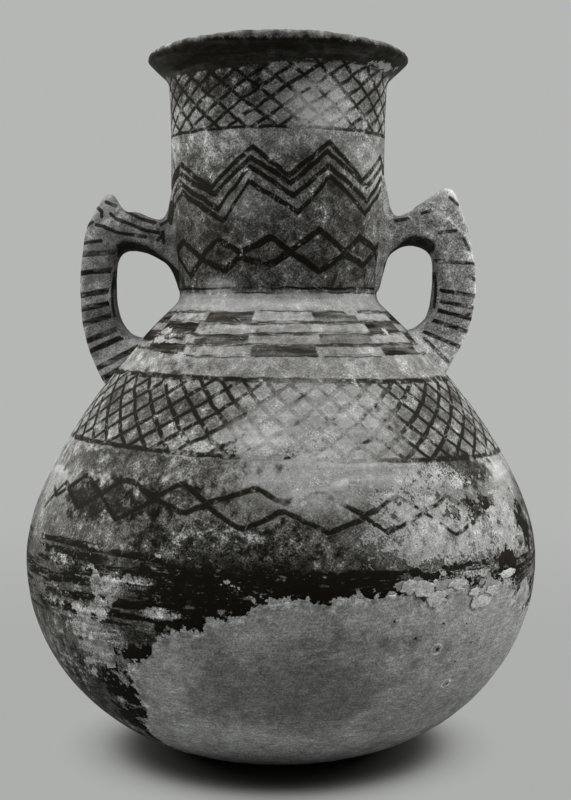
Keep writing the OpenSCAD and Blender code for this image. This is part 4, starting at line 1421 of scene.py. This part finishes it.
def painted_band(tree, here, grain, ragged, ground):
    """The dark band round the belly, streaked, smudged along its top and solid in front, and its blots."""
    rise = here["Rise"]
    solid = patch_of(tree, *SOLID_BAND, here, ragged, SOFT_EDGE)
    smudge = patch_of(tree, *SMUDGED_TOP, here, ragged, SOFT_EDGE)
    top = sideways(here["Turn"]) * -BAND_TILT + BAND_TOP + smudge * swing(grain, Fine=50, Grain=30)
    in_band = (top - rise).rise(-0.8, 0.8) * rise.rise(BAND_LOW - 6, BAND_LOW + 10)
    edge = solid * -0.32 + (ground - 0.4) * 0.35 + 0.5
    band = in_band * (grain["Streaks"] + swing(grain, Fine=0.25) - edge).rise(-0.02, 0.03)
    gaps = (grain["Strokes"] + swing(grain, Fine=0.35) - solid * 0.05).rise(0.57, 0.63)
    blots = patches_of(tree, BLOTS, here, ragged, CRISP_EDGE) + swing(grain, Fine=0.72, Grain=0.48)
    return (band * (1 - gaps * 0.85)).most(blots.rise(0.45, 0.58))


def painted_clay_material():
    """Burnished clay with its painted bands, wear and crust."""
    material, tree, here, grain = grained_material("painted_clay", 2.2)
    turn, rise = here["Turn"], here["Rise"]
    middle, fine, speck = grain["Middle"], grain["Fine"], grain["Grain"]
    ragged = middle * 0.5 + fine * 0.5
    crisp = fine * 0.6 + speck * 0.4
    mottle = swing(grain, Broad=0.5, Middle=0.78, Fine=0.9, Grain=1.0)
    ground = curve_of(rise, WEAR_BY_HEIGHT) + patches_of(tree, WORN_PATCHES, here, ragged, SOFT_EDGE)
    gain = (ground * -2.9 + 2.65).least(1.7).most(0.24) + rise.rise(330, 350) * 0.4
    wear = ground + mottle * gain + swing(grain, Streaks=0.35) * ground.rise(0.62, 0.76)
    speckled = patch_of(tree, *SPECKLED, here, ragged, SOFT_EDGE)
    wear = wear + (swing(grain, Middle=1.1, Fine=1.6, Grain=0.9) - 0.06) * speckled
    wear = wear.least(MOST_WEAR)
    crust = patches_of(tree, CRUST, here, ragged, CRUMBLED_EDGE)
    crust = (crust + swing(grain, Middle=0.7, Fine=1.8, Grain=1.2)).rise(0.36, 0.66)
    rubbed = (ground + swing(grain, Middle=0.75, Fine=0.8)) * 0.75 + 0.12
    rubbed = rubbed + patches_of(tree, RUBBED_PAINT, here, ragged, SOFT_EDGE)
    rubbed = rubbed + crust * swing(grain, Middle=1.1, Fine=0.7)

    tone = worn_tone(wear).toward(worn_tone(swing(grain, Middle=0.5, Fine=0.6, Grain=0.6) + 0.82), crust * 0.95)
    blotches = (crisp + swing(grain, Middle=0.3, Streaks=0.15)).rise(0.44, 0.38)
    tone = tone.toward(BLOTCH_TONE, crust.rise(0.7, 1.0) * blotches * 0.85)
    tone = tone.toward(PAINT_TONE, painted_lines(tree, here, grain, rubbed, crust) * 0.95)
    tone = tone.toward(CHECK_TONE, painted_checks(tree, here, grain, ragged, wear))
    black = painted_band(tree, here, grain, ragged, ground)
    tone = tone.toward(PAINT_TONE, black * 0.97)

    flecks = grain["Flecks"] * (1 - rise.rise(276, 284) * 0.5)
    tone = tone.toward(SCRATCH_TONE, grain["Scratches"] * (1 - black) * 0.45)
    tone = tone.toward(FLECK_TONE, flecks * 0.7)
    tone = tone.toward(SPECKLE_TONE, crisp.rise(0.60, 0.66) * speckled * 0.6)
    limed = patches_of(tree, LIMED, here, ragged, CRUMBLED_EDGE)
    limed = (limed + swing(grain, Fine=1.8, Grain=1.4, Streaks=1.4)).rise(0.40, 1.25)
    tone = tone.toward(worn_tone(swing(grain, Fine=0.9, Grain=0.7, Streaks=0.9) + 0.84), limed * 0.92)
    chips = patches_of(tree, CHIPS, here, ragged, CRISP_EDGE)
    chips = (chips + swing(grain, Fine=1.2, Grain=0.5)).rise(0.44, 0.56)
    tone = tone.toward(worn_tone(swing(grain, Middle=0.5, Fine=0.8) + 0.84), chips * 0.92)
    broken = attribute(tree, "broken")
    crumbs = (broken * 0.42 + swing(grain, Fine=1.7, Grain=0.3)).rise(0.30, 0.38) * broken.rise(0.0, 0.3)
    tone = tone.toward(worn_tone(swing(grain, Grain=1.0) + 0.86), crumbs * 0.9)
    crack = [on_wall(*pixel) for pixel in CRACK]
    crack_line = abs(rise - curve_of(turn, crack)).rise(0.9, 0.3) * turn.rise(crack[0][0], crack[0][0] + 1)
    tone = tone.toward(CRACK_TONE, crack_line * turn.rise(crack[-1][0], crack[-1][0] - 1) * 0.8)
    tone = tone.toward(GRIT_TONE, grain["Grit"] * 0.75)
    tone = tone.toward(worn_tone(mottle * 0.6 + 0.52), inner_face(tree))
    relief = fine * 0.5 + speck * 0.25 + crust.most(chips) * 0.8 + flecks * 0.4
    finish(tree, tone, wear.rise(0.2, 0.9) * 0.25 + 0.65, relief, 0.5)
    return material


# The lip: height where its paint starts, heights over which its top is rubbed, a chip and a washed-out stretch
RIM_PAINT_LOW = 410.2
RIM_RUBBED = (421.0, 422.8)
RIM_CHIP = ((386, 67), (9, 4))
RIM_WASHED = ((200, 66), (44, 10))


def rim_paint_material():
    """Black paint under the lip, rubbed off along its edge, over the top of the neck's net."""
    material, tree, here, grain = grained_material("rim_paint", 1.6)
    rise, fine = here["Rise"], grain["Fine"]
    ragged = fine * 0.6 + grain["Grain"] * 0.4
    wear = swing(grain, Middle=0.9, Fine=0.9, Grain=0.7) + 0.56
    links = {"Turn": here["Turn"], "Rise": rise, "Fine": fine, "Wear": wear * 0.75 + 0.12, "Ghost": 0.2}
    net = use_group(tree, PAINTED_NET, {**links, **net_links(NECK_NET)})["Mask"]
    tone = worn_tone(wear).toward(PAINT_TONE, net * 0.95)
    chip = patch_of(tree, *RIM_CHIP, here, ragged, CRISP_EDGE)
    washed = patch_of(tree, *RIM_WASHED, here, ragged, SOFT_EDGE)
    painted = (rise - RIM_PAINT_LOW + washed * 5 + swing(grain, Streaks=14, Fine=6)).rise(-0.6, 0.9)
    black = worn_tone(swing(grain, Streaks=1.4) + (ragged - 0.5) * 1.2 + 0.04) * 0.88
    tone = tone.toward(black, painted)
    tone = tone.toward(CHIP_TONE, chip * 0.8)
    rubbed = (rise + (ragged - 0.5) * 9 + swing(grain, Middle=3)).rise(*RIM_RUBBED)
    bare = worn_tone((ragged - 0.5) * 1.7 + swing(grain, Middle=1.1) + 0.57)
    tone = tone.toward(bare, rubbed.most(inner_face(tree)))
    finish(tree, tone, rubbed * 0.3 + 0.5, ragged, 0.6)
    return material


def handle_clay_material():
    """Clay of the handles, with painted bars across the legs and lines along the arms, and painted shade under the arms
    and towards the neck.
    """
    material, tree, here, grain = grained_material("handle_clay", 1.0)
    fine, speck = grain["Fine"], grain["Grain"]
    rubbed = attribute(tree, "rubbed")
    aside = Wire(tree, add_node(tree, "ShaderNodeSeparateXYZ", {0: here["Place"]}).outputs[0])
    right = aside.rise(-20, 20)
    # Painted shade: both handles darken towards the neck, where the arms meet it.
    left_root_shade, right_root_shade = aside.rise(-84, -66) * (1 - right), aside.rise(82, 68) * right
    base = rubbed * 0.08 + right * 0.12 - left_root_shade * 0.14 - right_root_shade * 0.12 + 0.69
    mottle = swing(grain, Middle=0.7, Fine=0.8) + (speck - 0.5) * (right * 0.4 + 0.9)
    wear = mottle * (1 - rubbed * 0.45) + base
    faded = base * 0.8 + swing(grain, Middle=0.5, Fine=0.2) - right * 0.04

    def stroke(label, half):
        links = {"Offset": attribute(tree, label), "Half width": half, "Fine": fine, "Wear": faded}
        return use_group(tree, BRUSH_LINE, links)["Mask"]

    paint = stroke("bar", right * -0.4 + BAR_HALF) * (grain["Streaks"].rise(0.38, 0.55) * 0.3 + 0.66)
    paint = paint.most(stroke("arm_line", ARM_LINE_HALF) * 0.9)
    # Painted shade: the underside of each arm is darkened almost to black.
    arm_underside_shade = (attribute(tree, "arm_underside_shade") + swing(grain, Fine=4)).rise(-1.2, 1.4)
    tone = worn_tone(wear).toward(PAINT_TONE, paint)
    tone = tone.toward(PAINT_TONE, arm_underside_shade * 0.92)
    tone = tone.toward(HANDLE_FLECK_TONE, grain["Flecks"] * (1 - rubbed) * 0.7)
    tone = tone.toward(PIT_SHADE_AND_SPECK_TONE, (speck + right * 0.02).rise(0.38, 0.30) * 0.7)
    tone = tone.toward(SMOOTH_GRIT_TONE, grain["Grit"] * 0.8)
    finish(tree, tone, wear.rise(0.2, 0.9) * 0.25 + 0.6, fine * 0.5 + speck * 0.3, 0.6)
    return material


# Paler and darker stretches of the plaster, partly its own tone and partly painted light: painted shade over its middle
# and painted floor light along its foot; pixel, half sizes in pixels and change
FILL_TONE_AND_LIGHT_PATCHES = (
    ((300, 690), (110, 42), -0.15), ((230, 650), (60, 20), -0.04), ((440, 650), (60, 50), 0.03),
    ((180, 690), (30, 40), 0.04), ((300, 742), (120, 16), 0.08),
)
# Painted highlights on the raised lips round pits: pixel and radius in pixels
HIGHLIGHT_RINGS = (((437.2, 649), 5.6), ((446, 683), 4.0))


def plaster_material():
    """Smooth grey plaster, speckled and stroked with the tool that smoothed it, with painted shade over its middle and
    in its pits, and painted light along its foot and on the lips of its pits.
    """
    material, tree, here, grain = grained_material("plaster", 1.0)
    fine, speck = grain["Fine"], grain["Grain"]
    wear = swing(grain, Broad=0.14, Middle=0.2, Fine=0.3, Grain=0.66, Strokes=0.36) + 0.78
    wear = wear + grain["Scratches"] * 0.08
    # Partly painted light: shade over the middle of the plaster, light from the floor along its foot.
    wear = wear + patches_of(tree, FILL_TONE_AND_LIGHT_PATCHES, here, grain["Broad"], SOFT_EDGE)
    # Painted highlight: a pale ring over each pit's raised lip.
    for pixel, radius in HIGHLIGHT_RINGS:
        dish, bowl = [patch_of(tree, pixel, (r, r), here, fine, RING_EDGE) for r in (radius, radius * 0.72)]
        wear = wear + dish * (1 - bowl) * 0.16
    wear = wear + attribute(tree, "edge").rise(5.0, 0.5) * (swing(grain, Fine=1.0) + 0.02)
    wear = wear + attribute(tree, "flake") * 0.11
    tone = worn_tone(wear).toward(PLASTER_SPECK_TONE, speck.rise(0.36, 0.28) * 0.5)
    tone = tone.toward(SMOOTH_GRIT_TONE, grain["Grit"] * 0.8)
    # Painted shade in the pits and round the edges of the flakes.
    tone = tone.toward(PIT_SHADE_AND_SPECK_TONE, attribute(tree, "pit") * 0.85)
    tone = tone.toward(worn_tone(swing(grain, Fine=0.6) + 0.72), inner_face(tree))
    relief = fine * 0.4 + speck * 0.3 + grain["Strokes"] * 0.15
    finish(tree, tone, fine * 0.2 + 0.72, relief, 0.35)
    return material


# Stage and light

# Tones of the backdrop, of the open floor, of the floor that light falls on and of the painted shadow on it under the
# jar
STAGE_TONE = (0.466, 0.474, 0.464)
OPEN_FLOOR_TONE = (0.418, 0.426, 0.416)
FLOOR_TONE = (0.300, 0.305, 0.298)
PAINTED_SHADOW_FLOOR_TONE = (0.050, 0.050, 0.048)
STAGE_HALF = 3.0
STAGE_BACK = 1.2
STAGE_CURVE = 0.8
STAGE_CURVE_STEPS = 24
# Distances from the jar's axis, in metres, over which the floor changes from one of these to the next; the first pair
# fades out the painted shadow
PAINTED_SHADOW_FROM, PAINTED_SHADOW_TO = 0.080, 0.116
SHADOW_FROM, SHADOW_TO = 0.092, 0.140
BACK_FROM, BACK_TO = 0.250, 1.100
# Places of the colour sockets of a mix node
MIX_COLOURS, MIXED_COLOUR = (6, 7), 2


def stage_material():
    """Pale paper that keeps the jar's shadow, with a painted shadow under the jar, and is even further off."""
    material, tree = new_material("stage_paper")
    shader = tree.nodes["Principled BSDF"]
    shader.inputs["Roughness"].default_value = 0.95
    shader.inputs["Specular IOR Level"].default_value = 0.1
    place = add_node(tree, "ShaderNodeTexCoord").outputs["Object"]
    split = add_node(tree, "ShaderNodeSeparateXYZ", {0: place})
    x, y = Wire(tree, split.outputs[0]), Wire(tree, split.outputs[1])
    away = (x * x + y * y).math("SQRT")

    def blend(share, near, far):
        links = {0: share, MIX_COLOURS[0]: (*near, 1), MIX_COLOURS[1]: (*far, 1)}
        return add_node(tree, "ShaderNodeMix", links, data_type="RGBA").outputs[MIXED_COLOUR]

    # Painted shadow: the floor's colour darkens towards the jar's foot.
    floor = blend(away.rise(PAINTED_SHADOW_FROM, PAINTED_SHADOW_TO), PAINTED_SHADOW_FLOOR_TONE, FLOOR_TONE)
    tree.links.new(floor, shader.inputs["Base Color"])
    path = add_node(tree, "ShaderNodeLightPath")
    seen = Wire(tree, path.outputs["Is Camera Ray"]).most(Wire(tree, path.outputs["Is Glossy Ray"]))
    seen = seen.most(Wire(tree, path.outputs["Is Transmission Ray"]))
    far = blend(away.rise(BACK_FROM, BACK_TO), OPEN_FLOOR_TONE, STAGE_TONE)
    plain = add_node(tree, "ShaderNodeEmission", {"Color": far, "Strength": 1.0})
    share = seen * away.rise(SHADOW_FROM, SHADOW_TO)
    mixed = add_node(tree, "ShaderNodeMixShader", {0: share, 1: shader.outputs[0], 2: plain.outputs[0]})
    tree.links.new(mixed.outputs[0], tree.nodes["Material Output"].inputs["Surface"])
    return material


def add_stage():
    """A pale floor that sweeps up behind the jar."""
    profile = [(-STAGE_HALF, 0.0), (STAGE_BACK, 0.0)]
    for i in range(1, STAGE_CURVE_STEPS + 1):
        turn = math.pi / 2 * i / STAGE_CURVE_STEPS
        profile.append((STAGE_BACK + STAGE_CURVE * math.sin(turn), STAGE_CURVE * (1 - math.cos(turn))))
    profile.append((STAGE_BACK + STAGE_CURVE, STAGE_HALF))
    points = [(x, y, z) for y, z in profile for x in (-STAGE_HALF, STAGE_HALF)]
    faces = [(2 * i, 2 * i + 1, 2 * i + 3, 2 * i + 2) for i in range(len(profile) - 1)]
    stage = new_object("stage", np.array(points) / MM, [], faces)
    stage.data.shade_smooth()
    stage.data.materials.append(stage_material())


# Lamps: name, place and size in metres, and power in watts
LAMPS = (
    ("left_window", (-1.3, 0.2, 0.95), 0.9, 29.5),
    ("right_window", (1.3, 0.2, 0.95), 0.9, 29.5),
    ("ceiling", (0, -0.1, 1.7), 1.2, 28),
)
LAMP_AIM = Vector((0, 0, 0.2))


def add_lamp(name, place, size, power):
    """A soft square lamp that faces the middle of the jar."""
    data = bpy.data.lights.new(name, "AREA")
    data.size = size
    data.energy = power
    lamp = bpy.data.objects.new(name, data)
    lamp.location = place
    aim = LAMP_AIM - Vector(place)
    lamp.rotation_euler = aim.to_track_quat("-Z", "Y").to_euler()
    bpy.context.collection.objects.link(lamp)


def add_light():
    """Soft light from both sides and from above, and a little from all round."""
    for lamp in LAMPS:
        add_lamp(*lamp)
    world = bpy.data.worlds.new("room")
    world.use_nodes = True
    tree = world.node_tree
    upward = add_node(tree, "ShaderNodeSeparateXYZ", {0: add_node(tree, "ShaderNodeTexCoord").outputs["Generated"]})
    glow = Wire(tree, upward.outputs[2]).rise(-0.05, 0.8) * 0.62 + 0.06
    tree.nodes["Background"].inputs["Color"].default_value = (1, 1, 1, 1)
    tree.links.new(glow.socket, tree.nodes["Background"].inputs["Strength"])
    bpy.context.scene.world = world


bpy.context.scene.view_settings.view_transform = "Standard"
add_camera()
add_stage()
add_light()
clay = painted_clay_material()
rim = rim_paint_material()
plaster = plaster_material()
handle_clay = handle_clay_material()
add_turned_walls(clay, rim)
add_belly(clay, plaster)
add_handle("left", LEFT_STRAP, LEFT_HORN, LEFT_HORN_CUT, LEFT_BARS, LEFT_STROKES, -1, handle_clay)
add_handle("right", RIGHT_STRAP, RIGHT_HORN, RIGHT_HORN_CUT, RIGHT_BARS, RIGHT_STROKES, 1, handle_clay)
